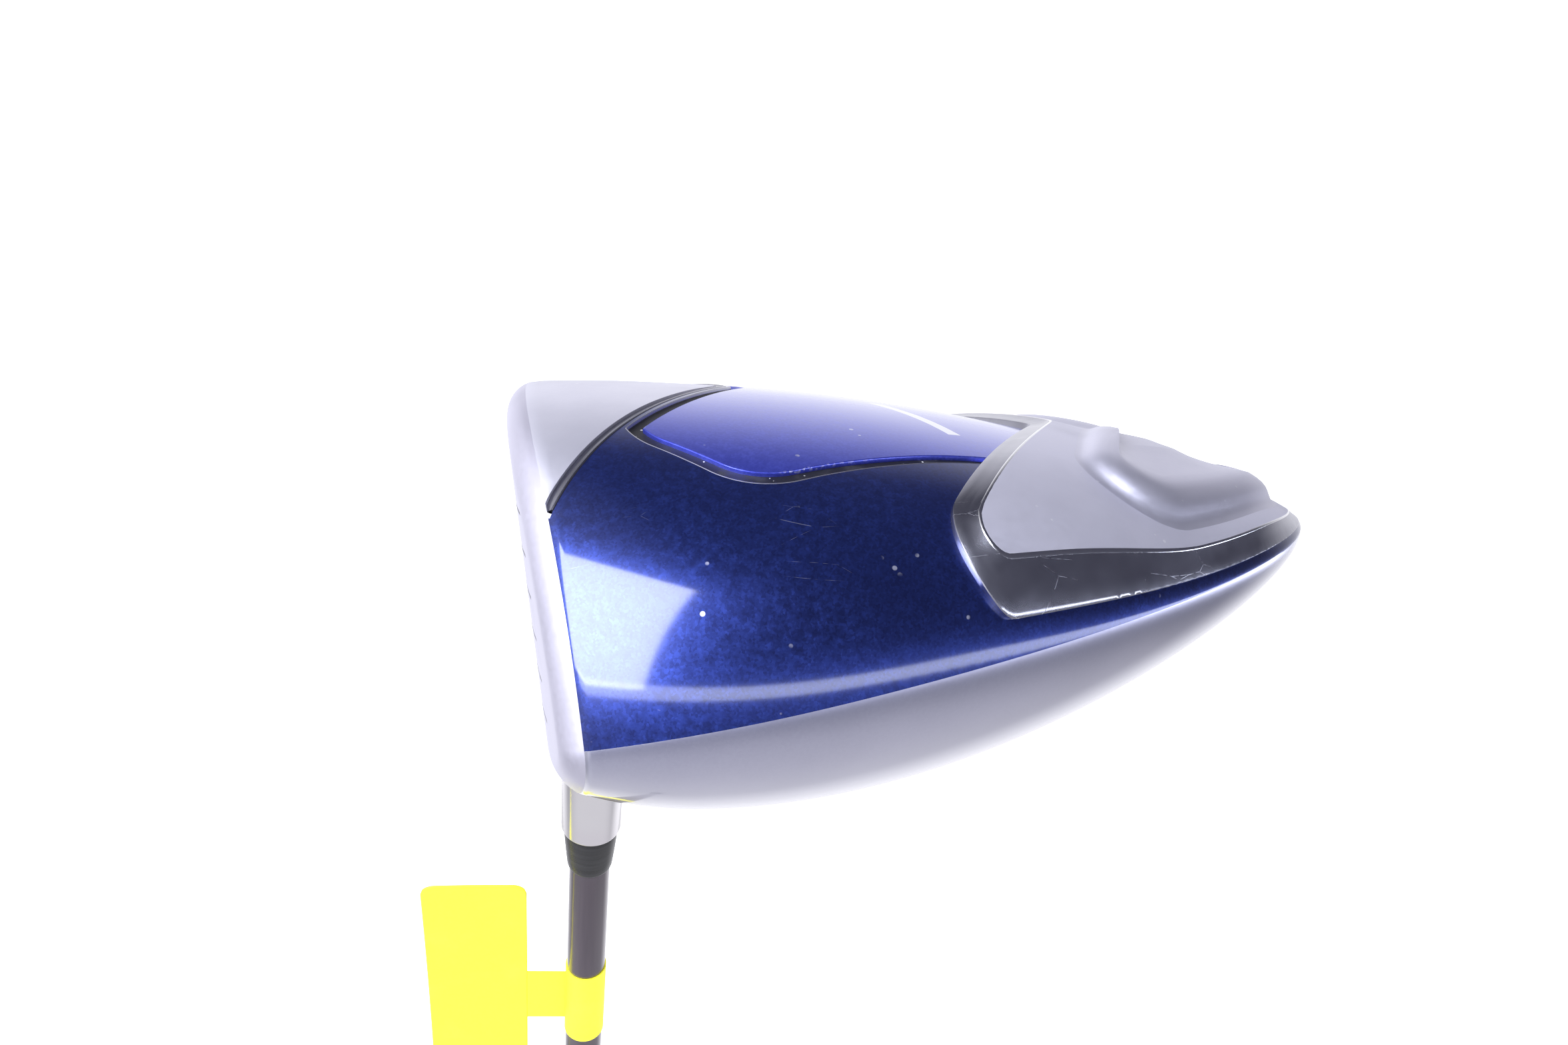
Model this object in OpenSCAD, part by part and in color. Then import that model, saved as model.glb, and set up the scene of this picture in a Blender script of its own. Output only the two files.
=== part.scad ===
// Golf driver, right-handed, standing on its grip with the head on top.
// +Z runs up the shaft towards the head, +X is the toe side and -Y is the face side.
// The head is drawn in its own address frame and then turned onto the shaft:
// there, x runs towards the heel, y towards the rear and z up to the crown.

/* [Club] */
// Length along the shaft from the butt to the ground line, mm
club_l = 1143; // [1080:1:1168]
// Angle between the shaft and the ground at address, degrees
lie = 58; // [54:0.5:62]

/* [Head] */
// Length from the face to the tail
head_l = 116; // [100:1:122]
// Height of the crown's apex above the ground
head_h = 55.3; // [50:0.5:64]
// Widest half of the head, centre to toe
toe_w = 58.9; // [52:0.5:62]
// Widest half of the head, centre to heel
heel_w = 57; // [52:0.5:60]
// Half of the face's width, centre to toe
face_toe_w = 53; // [46:0.5:54]
// Half of the face's width, centre to heel
face_heel_w = 46; // [42:0.5:50]
// Distance from the face to the widest point
wide_y = 30.8; // [26:0.2:40]
// Height of the paint seam at the face
seam_front = 39.4; // [34:0.2:41]
// Height of the paint seam at the tail
seam_tail = 14.4; // [13:0.2:16]
// Height of the crown at the tail
tail_top = 17.4; // [16.6:0.2:20]
// Height of the sole at the tail
tail_low = 14; // [12:0.1:15]
// Distance from the face to the crown's apex
apex_y = 20.5; // [16:0.5:30]
// Distance from the face to where the sole starts to lift
lift_y = 28.3; // [24:0.5:40]
// Loft of the face, degrees
loft = 9.1; // [8:0.1:12]
// Bulge and roll radius of the face
face_bulge = 300; // [250:5:340]
// Rounding between the face and the body
face_edge_r = 4; // [3:0.1:5]
// Thickness of the face plate
face_t = 3; // [2:0.1:3.6]
// Thickness of the crown
crown_t = 0.9; // [0.7:0.1:1.4]
// Thickness of the sole and of the front body
sole_t = 1.8; // [1.5:0.1:2.4]

/* [Sole] */
// Distance from the face to the apex of the front body's edge
front_apex = 31; // [28:0.5:34]
// Width of the dark band inlaid along that edge
band_w = 1.5; // [1:0.1:2]
// Distance from the centre to the cut ends of the band
band_end = 44.5; // [40:0.5:46]
// Depth of the pockets that hold the band and the centre panel
inlay_t = 1; // [0.8:0.1:1.2]
// Radius of the front body's boss round the hole where the shaft comes out
boss_r = 8.6; // [8.4:0.1:9.2]
// Gap between the front body's edge and the centre panel
panel_gap = 2.4; // [2:0.1:3]
// Distance from the centre to the panel's pointed front corner
panel_tip_x = 33.4; // [31:0.2:36]
// Distance from the centre to the panel's wide corner
panel_wide_x = 44.8; // [43:0.2:46]
// Distance from the face to the panel's wide corner
panel_wide_y = 31.5; // [30:0.2:34]
// Distance from the centre to the panel's rear corner
panel_rear_x = 28.4; // [26:0.2:31]
// Width of the black groove beside the panel
groove_w = 1.9; // [1.4:0.1:2.4]
// Depth from the sole to the groove's floor
groove_d = 0.6; // [0.4:0.05:0.7]
// Length of the rear plate, from its front apex to the head's tail
plate_l = 40.5; // [38:0.5:43]
// Height of the rear plate above the sole
plate_h = 2.2; // [1.6:0.1:2.6]
// Width of the rear plate's lowered border
plate_border = 2.6; // [2:0.1:3.2]
// Height of that border above the sole
border_h = 1; // [0.6:0.1:1.4]
// Radius at the rear plate's wing tips
wing_r = 5; // [4:0.2:6]
// Length of the pod, from its front apex to its rear edge
pod_l = 20; // [17:0.5:22]
// Distance from the pod's rear edge to the head's tail
pod_tail = 12; // [10:0.5:15]
// Gap from the head's outline to the foot of the pod
pod_inset = 3.6; // [3:0.1:5]
// How far the pod's flank leans in from its foot to its top
pod_lean = 8; // [6:0.5:10]
// Height of the pod's flat top above the ground
pod_z = 2.8; // [2:0.1:3.4]
// Diameter of the weight inside the pod
weight_d = 22; // [18:0.5:24]
// Thickness of the weight inside the pod
weight_t = 1.4; // [1:0.1:1.8]

/* [Hosel] */
// Distance from the head's centre to where the shaft axis meets the ground
hosel_x = 30.7; // [29:0.1:32]
// Distance from the face to the shaft axis
hosel_y = 13.9; // [12.5:0.1:15]
// Length of the hosel along the shaft, from the ground line
hosel_l = 112.3; // [100:0.5:116]
// Outer diameter of the hosel
hosel_d = 12.4; // [12:0.1:13.4]
// Extra radius where the hosel swells into the heel
flare_r = 1.4; // [0.8:0.1:2]
// Outer diameter of the tube that runs through the head
tube_d = 10.8; // [10.4:0.1:11.4]
// Bore of that tube
bore_d = 9; // [8.9:0.02:9.2]
// Height above the ground at which the tube and the shaft are cut off
exit_z = 2.4; // [2.2:0.1:3]
// Length of the ferrule
ferrule_l = 12; // [8:0.5:25]
// Diameter of the ferrule where it meets the hosel
ferrule_d = 11.2; // [10.6:0.1:12]

/* [Shaft] */
// Diameter of the parallel tip section
tip_d = 8.6; // [8.3:0.05:8.8]
// Length of the parallel tip section
tip_l = 190; // [130:5:220]
// Diameter at the butt
butt_d = 15.2; // [14.6:0.1:15.6]
// Thickness of the shaft's wall
shaft_t = 1.3; // [1:0.1:1.6]
// Length of the plug that closes the tip
plug_l = 8; // [5:0.5:12]
// Length of the swing weight behind the plug
tip_weight_l = 22; // [10:1:40]

/* [Grip] */
// Length of the grip with its cap
grip_l = 270; // [250:1:285]
// Diameter of the grip at the butt
grip_butt_d = 26.8; // [25:0.1:28]
// Diameter of the grip at its mouth
grip_mouth_d = 17.4; // [17:0.1:18.4]
// Thickness of the grip's cap
cap_t = 4.5; // [3:0.1:6]
// Diameter of the vent hole through the cap
vent_d = 3.2; // [2.6:0.1:4]
// Thickness of the tape under the grip
tape_t = 0.3; // [0.2:0.05:0.6]
// Distance from the grip's mouth to the end of the tape
tape_gap = 8; // [4:1:16]

/* [Label] */
// Distance from the hosel's top to the near edge of the label's wrap
label_gap = 49; // [30:1:80]
// Width of the wrap, along the shaft
wrap_w = 25; // [20:1:40]
// Width of the neck between the wrap and the flag
neck_w = 18; // [8:1:22]
// Gap between the wrap and the flag
neck_l = 9; // [3:0.5:14]
// Width of the flag
flag_w = 22.5; // [16:0.5:40]
// Length of the flag, along the shaft
flag_l = 80; // [40:1:100]
// How far the flag reaches past the wrap towards the head
flag_lead = 30; // [0:1:40]
// Thickness of the folded label
label_t = 0.3; // [0.2:0.05:0.5]

/* [Hidden] */
$fn = 64;
plate_apex = head_l - plate_l;      // distances from the face, of what is set from the tail
pod_rear = head_l - pod_tail;
pod_apex = pod_rear - pod_l;

fit = 0.05;                 // clearance where a bonded piece meets its seat
tail_round = 6;             // length over which the tail closes
tail_cut = 0.5;             // length left off the tail, where the skin would end in a point
crown_n = 1.97;             // exponents of the section above and below the seam
sole_n_front = 2.33;
sole_n_rear = 1.8;
chevron_n = 1.28;           // exponent of the swept edges across the sole
front_sweep = 0.173;        // how far the front body's edge sweeps forward
plate_sweep = 0.155;        // how far the rear plate's edge sweeps forward
reach = 80;                 // more than half of the head's width
deep = 40;                  // more than the height of any cut through the sole
neck_foot = 20;             // distances along the shaft from the ground line: the neck's foot,
neck_swell = 46;            // its widest place,
neck_end = 80;              // and where it is down to the hosel's diameter
hosel_top = club_l - hosel_l;
tip_start = club_l - tip_l;
label_z = hosel_top - label_gap - wrap_w;

// ---- The head's skin -------------------------------------------------------

function sq(a) = a * a;
function unit(a) = max(0, min(1, a));
function spow(a, p) = sign(a) * pow(abs(a), p);

// Half-width at station u, from the face's half-width and the widest one
function plan(u, face_w, wide_w) = u < wide_y
    ? wide_w - (wide_w - face_w) * sq((wide_y - u) / wide_y)
    : wide_w * pow(max(0, 1 - pow((u - wide_y) / (head_l - wide_y), 1.87)), 1 / 1.81);

function seam_z(u) = seam_front + (seam_tail - seam_front) * u / head_l;

function crown_z(u) = head_h - (head_h - tail_top) * (u < apex_y
    ? 0.1 * sq((apex_y - u) / apex_y)
    : pow((u - apex_y) / (head_l - apex_y), 1.97));

function sole_z(u) = tail_low * pow(max(0, (u - lift_y) / (head_l - lift_y)), 1.95)
    + sq(max(0, (20 - u) / 20));

// The sole's section is boxy at the front and rounder towards the rear
function sole_n(u) = let (t = unit((u - 50) / 45))
    sole_n_front + (sole_n_rear - sole_n_front) * t * t * (3 - 2 * t);
// How far the face's rounded edge cuts into the section at station u
function edge_cut(u) = u < face_edge_r
    ? face_edge_r - sqrt(sq(face_edge_r) - sq(face_edge_r - u)) : 0;

function tail_close(u) = sqrt(1 - sq(1 - unit((head_l - u) / tail_round)));

// Bends station y into the lofted and bulged face at the front
function bend(x, y, z, u) = let (k = unit(1 - u / head_l))
    [x, y + z * tan(loft) * pow(k, 1.5) + x * x / (2 * face_bulge) * pow(k, 3), z];

// A point of the skin at station u and angle v, d below the surface.
// v is 0 at the heel, 90 at the crown, 180 at the toe and 270 at the sole.
function skin(u, v, d) =
    let (cut = edge_cut(u) + d,
         wide = cos(v) < 0 ? plan(u, face_toe_w, toe_w) : plan(u, face_heel_w, heel_w),
         up = sin(v) > 0,
         tall = (up ? crown_z(u) - seam_z(u) : seam_z(u) - sole_z(u)) * tail_close(u),
         n = 2 / (up ? crown_n : sole_n(u)),
         y = face_t + (u - face_t) * (head_l - d - face_t) / (head_l - face_t))
    bend(max(wide - cut, 0.4) * spow(cos(v), n), y,
         seam_z(u) + max(tall - cut, 0.1) * spow(sin(v), n), u);

// Stations crowd together towards the face and the tail
function stations(count) = [for (i = [0 : count]) let (t = i / count)
    face_t + (head_l - tail_cut - face_t) * (t - 0.62 * sin(360 * t) / (2 * PI))];

// The layer of the skin between depths d0 and d1, from angle v0 to v1
module layer(d0, d1, v0, v1, steps = 20, turns = 24) {
    us = stations(steps);
    rows = steps + 1;
    cols = turns + 1;
    inner = rows * cols;
    function at(i, j) = i * cols + j;
    points = [for (d = [d0, d1], u = us, j = [0 : turns]) skin(u, v0 + (v1 - v0) * j / turns, d)];
    function patch(i, j) = let (a = at(i, j), b = at(i + 1, j), c = at(i + 1, j + 1), e = at(i, j + 1))
        [[a, c, b], [a, e, c], [inner + a, inner + b, inner + c], [inner + a, inner + c, inner + e]];
    function side(a, b) = [[inner + a, a, b], [inner + a, b, inner + b]];
    faces = concat(
        [for (i = [0 : steps - 1], j = [0 : turns - 1], f = patch(i, j)) f],
        [for (i = [0 : steps - 1], f = side(at(i, 0), at(i + 1, 0))) f],
        [for (i = [0 : steps - 1], f = side(at(i + 1, turns), at(i, turns))) f],
        [for (j = [0 : turns - 1], f = side(at(0, j + 1), at(0, j))) f],
        [for (j = [0 : turns - 1], f = side(at(steps, j), at(steps, j + 1))) f]);
    polyhedron(points, faces, convexity = 8);
}

module sole_layer(d0, d1) layer(d0, d1, 180, 360);

// Turns the address frame onto the shaft's axis
module head_frame()
    translate([0, 0, club_l]) rotate([0, 90 + lie, 0]) translate([-hosel_x, -hosel_y, 0]) children();

// An upright prism through the sole, from a footprint seen from above
module through_sole() translate([0, 0, -deep]) linear_extrude(3 * deep) children();

// Makes a carved piece of the skin one faceted solid: resizing to nothing keeps its size
module carved() resize([0, 0, 0]) children();

// ---- Footprints on the sole, seen from above -------------------------------

function swept(apex, sweep, x) = apex - sweep * pow(abs(x), chevron_n);

// Everything ahead of a swept edge
module ahead_of(apex, sweep)
    polygon(concat([for (i = [-20 : 20]) let (x = reach * i / 20) [x, swept(apex, sweep, x)]],
                   [[reach, -reach], [-reach, -reach]]));

// The front body's footprint, with the boss round the shaft's exit
module front_print() offset(r = -3) offset(r = 3) {
    ahead_of(front_apex, front_sweep);
    translate([hosel_x + 1.2, hosel_y]) circle(boss_r);
}

// A strip along the front body's edge, from one distance to another outside it
module front_edge(from, to) difference() {
    offset(delta = to) front_print();
    offset(delta = from) front_print();
}

// Everything behind a swept edge
module behind(apex, sweep)
    polygon(concat([for (i = [-20 : 20]) let (x = reach * i / 20) [x, swept(apex, sweep, x)]],
                   [[reach, 2 * reach], [-reach, 2 * reach]]));

// The outline of the head, drawn in by a margin
module outline(margin) {
    us = stations(24);
    polygon(concat([for (u = us) let (p = skin(u, 180, margin)) [p.x, p.y]],
                   [for (i = [24 : -1 : 0]) let (p = skin(us[i], 0, margin)) [p.x, p.y]]));
}

// The centre panel, grown by a margin that keeps its front and rear corners
module panel_print(grow = 0) {
    front_y = swept(front_apex + panel_gap, front_sweep, panel_tip_x);
    half = [[0, front_y], [panel_tip_x, front_y], [panel_wide_x, panel_wide_y],
            [panel_rear_x, plate_apex], [0, plate_apex]];
    difference() {
        intersection() {
            offset(delta = grow) for (s = [-1, 1]) scale([s, 1])
                intersection() {
                    offset(r = 9, $fn = 48) offset(delta = -9)
                        polygon(concat(half, [[-reach / 2, plate_apex], [-reach / 2, front_y]]));
                    translate([-1, -reach]) square([reach, 3 * reach]);
                }
            ahead_of(plate_apex, plate_sweep);
        }
        offset(delta = panel_gap - grow) front_print();
    }
}

module plate_print(inset = 0)
    offset(delta = -inset) offset(r = wing_r) offset(delta = -wing_r) intersection() {
        outline(0.5);
        behind(plate_apex, plate_sweep);
    }

// One side of the pod's outline, from its front apex round to its rear
function pod_half(inset, apex, rear) = let (
    us = [for (i = [0 : 8]) swept(apex, plate_sweep, 40) + 2 + (rear - swept(apex, plate_sweep, 40) - 2) * i / 8])
    concat([for (i = [0 : 6]) let (x = 36 * i / 6) [x, swept(apex, plate_sweep, x)]],
           [for (u = us) [plan(u, face_toe_w, toe_w) - pod_inset - inset, u]],
           [[plan(rear, face_toe_w, toe_w) * 0.6 - inset / 2, rear + 1.5]]);

function pod_ring(inset, apex, rear, z) = let (half = pod_half(inset, apex, rear), n = len(half))
    concat([for (p = half) [p.x, p.y, z]], [for (i = [n - 1 : -1 : 1]) [-half[i].x, half[i].y, z]]);

// ---- Head ------------------------------------------------------------------

// Rings of the face plate: round its edge from the front to the back, then both caps
module face_solid() {
    turns = 48;
    rings = [[0, 0.001], [0, 0.4], [0, 0.75], [0, 1], [0.25, 1], [0.8, 1], [1.7, 1],
             [face_t, 1], [face_t, 0.75], [face_t, 0.4], [face_t, 0.001]];
    n = len(rings);
    points = [for (r = rings, j = [0 : turns - 1]) let (p = skin(r[0], 360 * j / turns, 0), c = seam_z(r[0]) - 6,
              x = p.x * r[1], z = c + (p.z - c) * r[1]) bend(x, r[0], z, r[0])];
    function at(i, j) = i * turns + j % turns;
    faces = concat(
        [[for (j = [0 : turns - 1]) at(0, j)]],
        [for (i = [0 : n - 2], j = [0 : turns - 1], f = [[at(i, j), at(i + 1, j + 1), at(i + 1, j)],
            [at(i, j), at(i, j + 1), at(i + 1, j + 1)]]) f],
        [[for (j = [turns - 1 : -1 : 0]) at(n - 1, j)]]);
    polyhedron(points, faces, convexity = 4);
}

module face_plate() color("lavender") carved() difference() {
    head_frame() face_solid();
    hosel_cut();
}

// The neck grows out of the heel from its foot, swells, and settles to the hosel's diameter
function ease(t) = (1 - cos(180 * unit(t))) / 2;
function neck_r(s) = s < neck_swell
    ? tube_d / 2 + 0.3 + (hosel_d / 2 + flare_r - tube_d / 2 - 0.3) * ease((s - neck_foot) / (neck_swell - neck_foot))
    : hosel_d / 2 + flare_r * (1 - ease((s - neck_swell) / (neck_end - neck_swell)));

module neck_shape(grow = 0)
    rotate_extrude() polygon(concat([[0, club_l - neck_foot + grow]],
        [for (i = [0 : 14]) let (s = neck_foot + (neck_end - neck_foot) * i / 14)
            [neck_r(s) + grow, club_l - s + (i == 0 ? grow : 0)]],
        [[hosel_d / 2 + grow, hosel_top + 0.6], [hosel_d / 2 - 0.6 + grow, hosel_top], [0, hosel_top]]));

module tube_shape(d) translate([0, 0, hosel_top]) cylinder(h = hosel_l + 20, d = d);

module hosel_cut() {
    neck_shape(fit);
    tube_shape(tube_d + 2 * fit);
}

// Everything above a height over the ground, in the address frame
module above_ground(z) head_frame() translate([-2 * club_l, -2 * club_l, z]) cube(4 * club_l);

module front_body() color("silver") carved() difference() {
    head_frame() difference() {
        intersection() {
            sole_layer(0, sole_t);
            through_sole() front_print();
        }
        intersection() {
            through_sole() band_print(1);
            sole_layer(-inlay_t, inlay_t);
        }
    }
    hosel_cut();
}

module band_print(over = 0) intersection() {
    front_edge(-band_w, over);
    square([2 * band_end, 2 * reach], center = true);
}

module front_trim_band() color("dimgray") carved() difference() {
    head_frame() intersection() {
        through_sole() band_print();
        sole_layer(0, inlay_t);
    }
    hosel_cut();
}

module crown_shell() color("lightsteelblue") carved() difference() {
    head_frame() layer(0, crown_t, 0, 180);
    hosel_cut();
}

module sole_shell() color("midnightblue") carved() difference() {
    head_frame() difference() {
        intersection() {
            sole_layer(0, sole_t);
            through_sole() difference() {
                square(4 * reach, center = true);
                front_print();
            }
        }
        intersection() {
            through_sole() panel_print(groove_w);
            sole_layer(-inlay_t, inlay_t);
        }
        // Clears a splinter between the neck's cut and the seam
        translate([46.2, 12.3, 38.6]) cube(1, center = true);
    }
    hosel_cut();
}

module centre_panel() color("royalblue") carved() difference() {
    head_frame() intersection() {
        through_sole() panel_print();
        sole_layer(0, inlay_t);
    }
    hosel_cut();
}

module groove_trim() color("black") carved() difference() {
    head_frame() intersection() {
        through_sole() offset(delta = 0.01) offset(delta = -0.01) difference() {
            panel_print(groove_w);
            panel_print();
        }
        sole_layer(groove_d, inlay_t);
    }
    hosel_cut();
}

module rear_plate() color("gainsboro") head_frame() carved() union() {
    intersection() {
        through_sole() plate_print();
        sole_layer(-border_h, 0);
    }
    intersection() {
        through_sole() plate_print(plate_border);
        sole_layer(-plate_h, 0);
    }
}

// The pod leans in from its foot to a flat top, and its foot follows the rear plate
module pod_block() {
    foot = pod_ring(0, pod_apex, pod_rear, 14);
    top = pod_ring(pod_lean, pod_apex + 1.5, pod_rear - 4, pod_z);
    n = len(foot);
    polyhedron(concat(foot, top), concat(
        [[for (i = [n - 1 : -1 : 0]) i]], [[for (i = [0 : n - 1]) n + i]],
        [for (i = [0 : n - 1], f = [[i, (i + 1) % n, n + (i + 1) % n], [i, n + (i + 1) % n, n + i]]) f]));
}

module weight_shape(grow) translate([0, (pod_apex + pod_rear) / 2 + 2, -deep])
    cylinder(h = 3 * deep, d = weight_d + 2 * grow);

module weight_pod() color("silver") head_frame() carved() difference() {
    intersection() {
        pod_block();
        sole_layer(-14, -plate_h);
    }
    intersection() {
        weight_shape(fit);
        sole_layer(-plate_h - weight_t - fit, 0);
    }
}

module pod_weight() color("dimgray") head_frame() carved() intersection() {
    weight_shape(0);
    pod_block();
    sole_layer(-plate_h - weight_t, -plate_h);
}

// A patch of hot-melt glue that catches rattles inside the sole
module damping_pad() color("khaki") head_frame() carved() intersection() {
    translate([-8, 58, -deep]) cylinder(h = 3 * deep, d = 26);
    sole_layer(sole_t, sole_t + 1.6);
}

module hosel_neck() color("white") difference() {
    neck_shape();
    tube_shape(tube_d);
}

module hosel_tube() color("silver") intersection() {
    difference() {
        tube_shape(tube_d);
        translate([0, 0, -1]) tube_shape(bore_d);
        tube_shape(bore_d);
    }
    above_ground(exit_z);
}

// ---- Shaft -----------------------------------------------------------------

function shaft_r(z) = z > tip_start ? tip_d / 2
    : tip_d / 2 + (butt_d - tip_d) / 2 * (tip_start - z) / (tip_start - cap_t);

module epoxy_bond() color("goldenrod") intersection() {
    difference() {
        tube_shape(bore_d);
        translate([0, 0, -1]) tube_shape(tip_d);
        tube_shape(tip_d);
    }
    above_ground(exit_z);
}

module shaft() color("dimgray") intersection() {
    rotate_extrude() polygon([
        [shaft_r(cap_t) - shaft_t, cap_t], [shaft_r(cap_t), cap_t],
        [tip_d / 2, tip_start], [tip_d / 2, club_l + 20],
        [tip_d / 2 - shaft_t, club_l + 20], [tip_d / 2 - shaft_t, tip_start]]);
    above_ground(exit_z);
}

// Where the plug starts, so that its slanted end still holds its full length
plug_z = club_l - exit_z / sin(lie) - tip_d / 2 / tan(lie) - plug_l;

module shaft_tip_plug() color("gray") intersection() {
    translate([0, 0, plug_z]) cylinder(h = plug_l + 20, d = tip_d - 2 * shaft_t);
    above_ground(exit_z);
}

module tip_weight() color("slategray")
    translate([0, 0, plug_z - tip_weight_l]) cylinder(h = tip_weight_l, d = tip_d - 2 * shaft_t - 0.1);

module ferrule() color("black") rotate_extrude() polygon([
    [tip_d / 2 + fit, hosel_top], [ferrule_d / 2, hosel_top],
    [ferrule_d / 2 - 0.2, hosel_top - ferrule_l * 0.35],
    [tip_d / 2 + 0.5, hosel_top - ferrule_l + 0.5], [tip_d / 2 + 0.25, hosel_top - ferrule_l],
    [tip_d / 2 + fit, hosel_top - ferrule_l]]);

// ---- Grip ------------------------------------------------------------------

module grip_tape() color("beige") rotate_extrude() polygon([
    for (p = [[0, cap_t], [tape_t, cap_t], [tape_t, grip_l - tape_gap], [0, grip_l - tape_gap]])
        [shaft_r(p[1]) + p[0], p[1]]]);

module grip_sleeve() color("#222222") rotate_extrude() polygon([
    [shaft_r(cap_t) + tape_t, cap_t], [grip_butt_d / 2, cap_t],
    [grip_butt_d / 2 - 0.2, cap_t + 18], [grip_butt_d / 2 - 2.2, cap_t + 70],
    [grip_mouth_d / 2 + 0.2, grip_l - 12], [grip_mouth_d / 2, grip_l - 1.5],
    [grip_mouth_d / 2 - 0.7, grip_l], [shaft_r(grip_l), grip_l],
    [shaft_r(grip_l - tape_gap), grip_l - tape_gap],
    [shaft_r(grip_l - tape_gap) + tape_t, grip_l - tape_gap]]);

module grip_cap() color("#333333") difference() {
    rotate_extrude() polygon([[0, 0], [grip_butt_d / 2 - 4, 0], [grip_butt_d / 2 - 1.2, 0.8],
        [grip_butt_d / 2 + 0.3, 2.4], [grip_butt_d / 2 + 0.3, 3.4], [grip_butt_d / 2, cap_t], [0, cap_t]]);
    translate([0, 0, -1]) cylinder(h = cap_t + 2, d = vent_d);
}

// ---- Label -----------------------------------------------------------------

// A blank sticker folded round the shaft, with its flag standing out on the face side
module stock_label() color("gold") {
    rotate_extrude() polygon([for (p = [[0, 0], [label_t, 0], [label_t, wrap_w], [0, wrap_w]])
        [shaft_r(label_z + p[1]) + p[0], label_z + p[1]]]);
    translate([0, 0, label_z + wrap_w / 2]) rotate([90, 0, -90]) translate([0, 0, -label_t / 2])
        linear_extrude(label_t) {
            translate([tip_d / 2 + label_t / 2, -neck_w / 2]) square([neck_l + 1.5, neck_w]);
            translate([tip_d / 2 + neck_l, wrap_w / 2 + flag_lead - flag_l]) offset(r = 2) offset(delta = -2)
                square([flag_w, flag_l]);
        }
}

face_plate();
front_body();
front_trim_band();
crown_shell();
sole_shell();
centre_panel();
groove_trim();
rear_plate();
weight_pod();
pod_weight();
damping_pad();
hosel_neck();
hosel_tube();
epoxy_bond();
ferrule();
shaft();
shaft_tip_plug();
tip_weight();
grip_tape();
grip_sleeve();
grip_cap();
stock_label();
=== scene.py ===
"""A golf driver: a hollow metal head on a tapered shaft that runs right through its sole.

The head is worked out in its address frame, in millimetres: x towards the heel, y towards the
rear and z up to the crown. on_club() turns it onto the shaft's axis, in metres.
"""
import math

import bmesh
import bpy
import numpy as np
from mathutils import Matrix, Vector
from mathutils.geometry import delaunay_2d_cdt
from mathutils.kdtree import KDTree


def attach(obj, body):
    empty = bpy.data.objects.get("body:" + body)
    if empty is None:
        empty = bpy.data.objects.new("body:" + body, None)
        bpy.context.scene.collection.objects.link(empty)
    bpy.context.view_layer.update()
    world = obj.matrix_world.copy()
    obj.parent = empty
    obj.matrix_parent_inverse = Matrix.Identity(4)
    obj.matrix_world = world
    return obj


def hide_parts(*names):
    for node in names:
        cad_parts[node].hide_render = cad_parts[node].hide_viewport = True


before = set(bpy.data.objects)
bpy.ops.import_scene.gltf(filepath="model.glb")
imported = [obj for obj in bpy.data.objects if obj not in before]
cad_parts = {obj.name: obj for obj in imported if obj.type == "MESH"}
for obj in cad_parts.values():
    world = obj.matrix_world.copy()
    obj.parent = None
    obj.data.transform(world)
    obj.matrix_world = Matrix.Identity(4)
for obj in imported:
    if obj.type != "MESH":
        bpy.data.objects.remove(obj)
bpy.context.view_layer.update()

# ---- Face plate ------------------------------------------------------------
# A forged plate, 3 mm thick, welded across the mouth of the head. Its surface is lofted,
# bulged from heel to toe, rounded over at its edge and blasted to a fine satin.

CLUB_L = 1143.0
LIE = math.radians(58)
HOSEL_X, HOSEL_Y = 30.7, 13.9
HEAD_L, HEAD_H = 116.0, 55.3
TOE_W, HEEL_W = 58.9, 57.0
FACE_TOE_W, FACE_HEEL_W = 53.0, 46.0
WIDE_Y, APEX_Y, LIFT_Y = 30.8, 20.5, 28.3
SEAM_FRONT, SEAM_TAIL = 39.4, 14.4
TAIL_TOP, TAIL_LOW, TAIL_ROUND, TAIL_CUT = 17.4, 14.0, 6.0, 0.5
LOFT = math.radians(9.1)
BULGE = 300.0
EDGE_R, FACE_T = 4.0, 3.0
CROWN_N = 1.97
SOLE_N_FRONT, SOLE_N_REAR = 2.33, 1.8
SOFTEN_FROM, SOFTEN_TO = 50.0, 95.0
PLAN_ALONG, PLAN_ACROSS = 1.87, 1.81
CROWN_FALL, FRONT_DIP = 1.97, 0.1
SOLE_RISE, LEAD_RISE, LEAD_RISE_Y = 1.95, 1.0, 20.0


def smooth(t):
    """An even step: 0 at 0, 1 at 1 and flat at both."""
    return t * t * (3 - 2 * t)


def plan(u, face_w, wide_w):
    """Half the head's width at station u."""
    front = wide_w - (wide_w - face_w) * np.clip((WIDE_Y - u) / WIDE_Y, 0, None) ** 2
    run = np.clip((u - WIDE_Y) / (HEAD_L - WIDE_Y), 0, 1)
    back = wide_w * (1 - run**PLAN_ALONG) ** (1 / PLAN_ACROSS)
    return np.where(u < WIDE_Y, front, back)


def edge_cut(u):
    """How far the face's rounded edge cuts into station u."""
    return EDGE_R - np.sqrt(EDGE_R**2 - np.clip(EDGE_R - u, 0, EDGE_R) ** 2)


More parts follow.
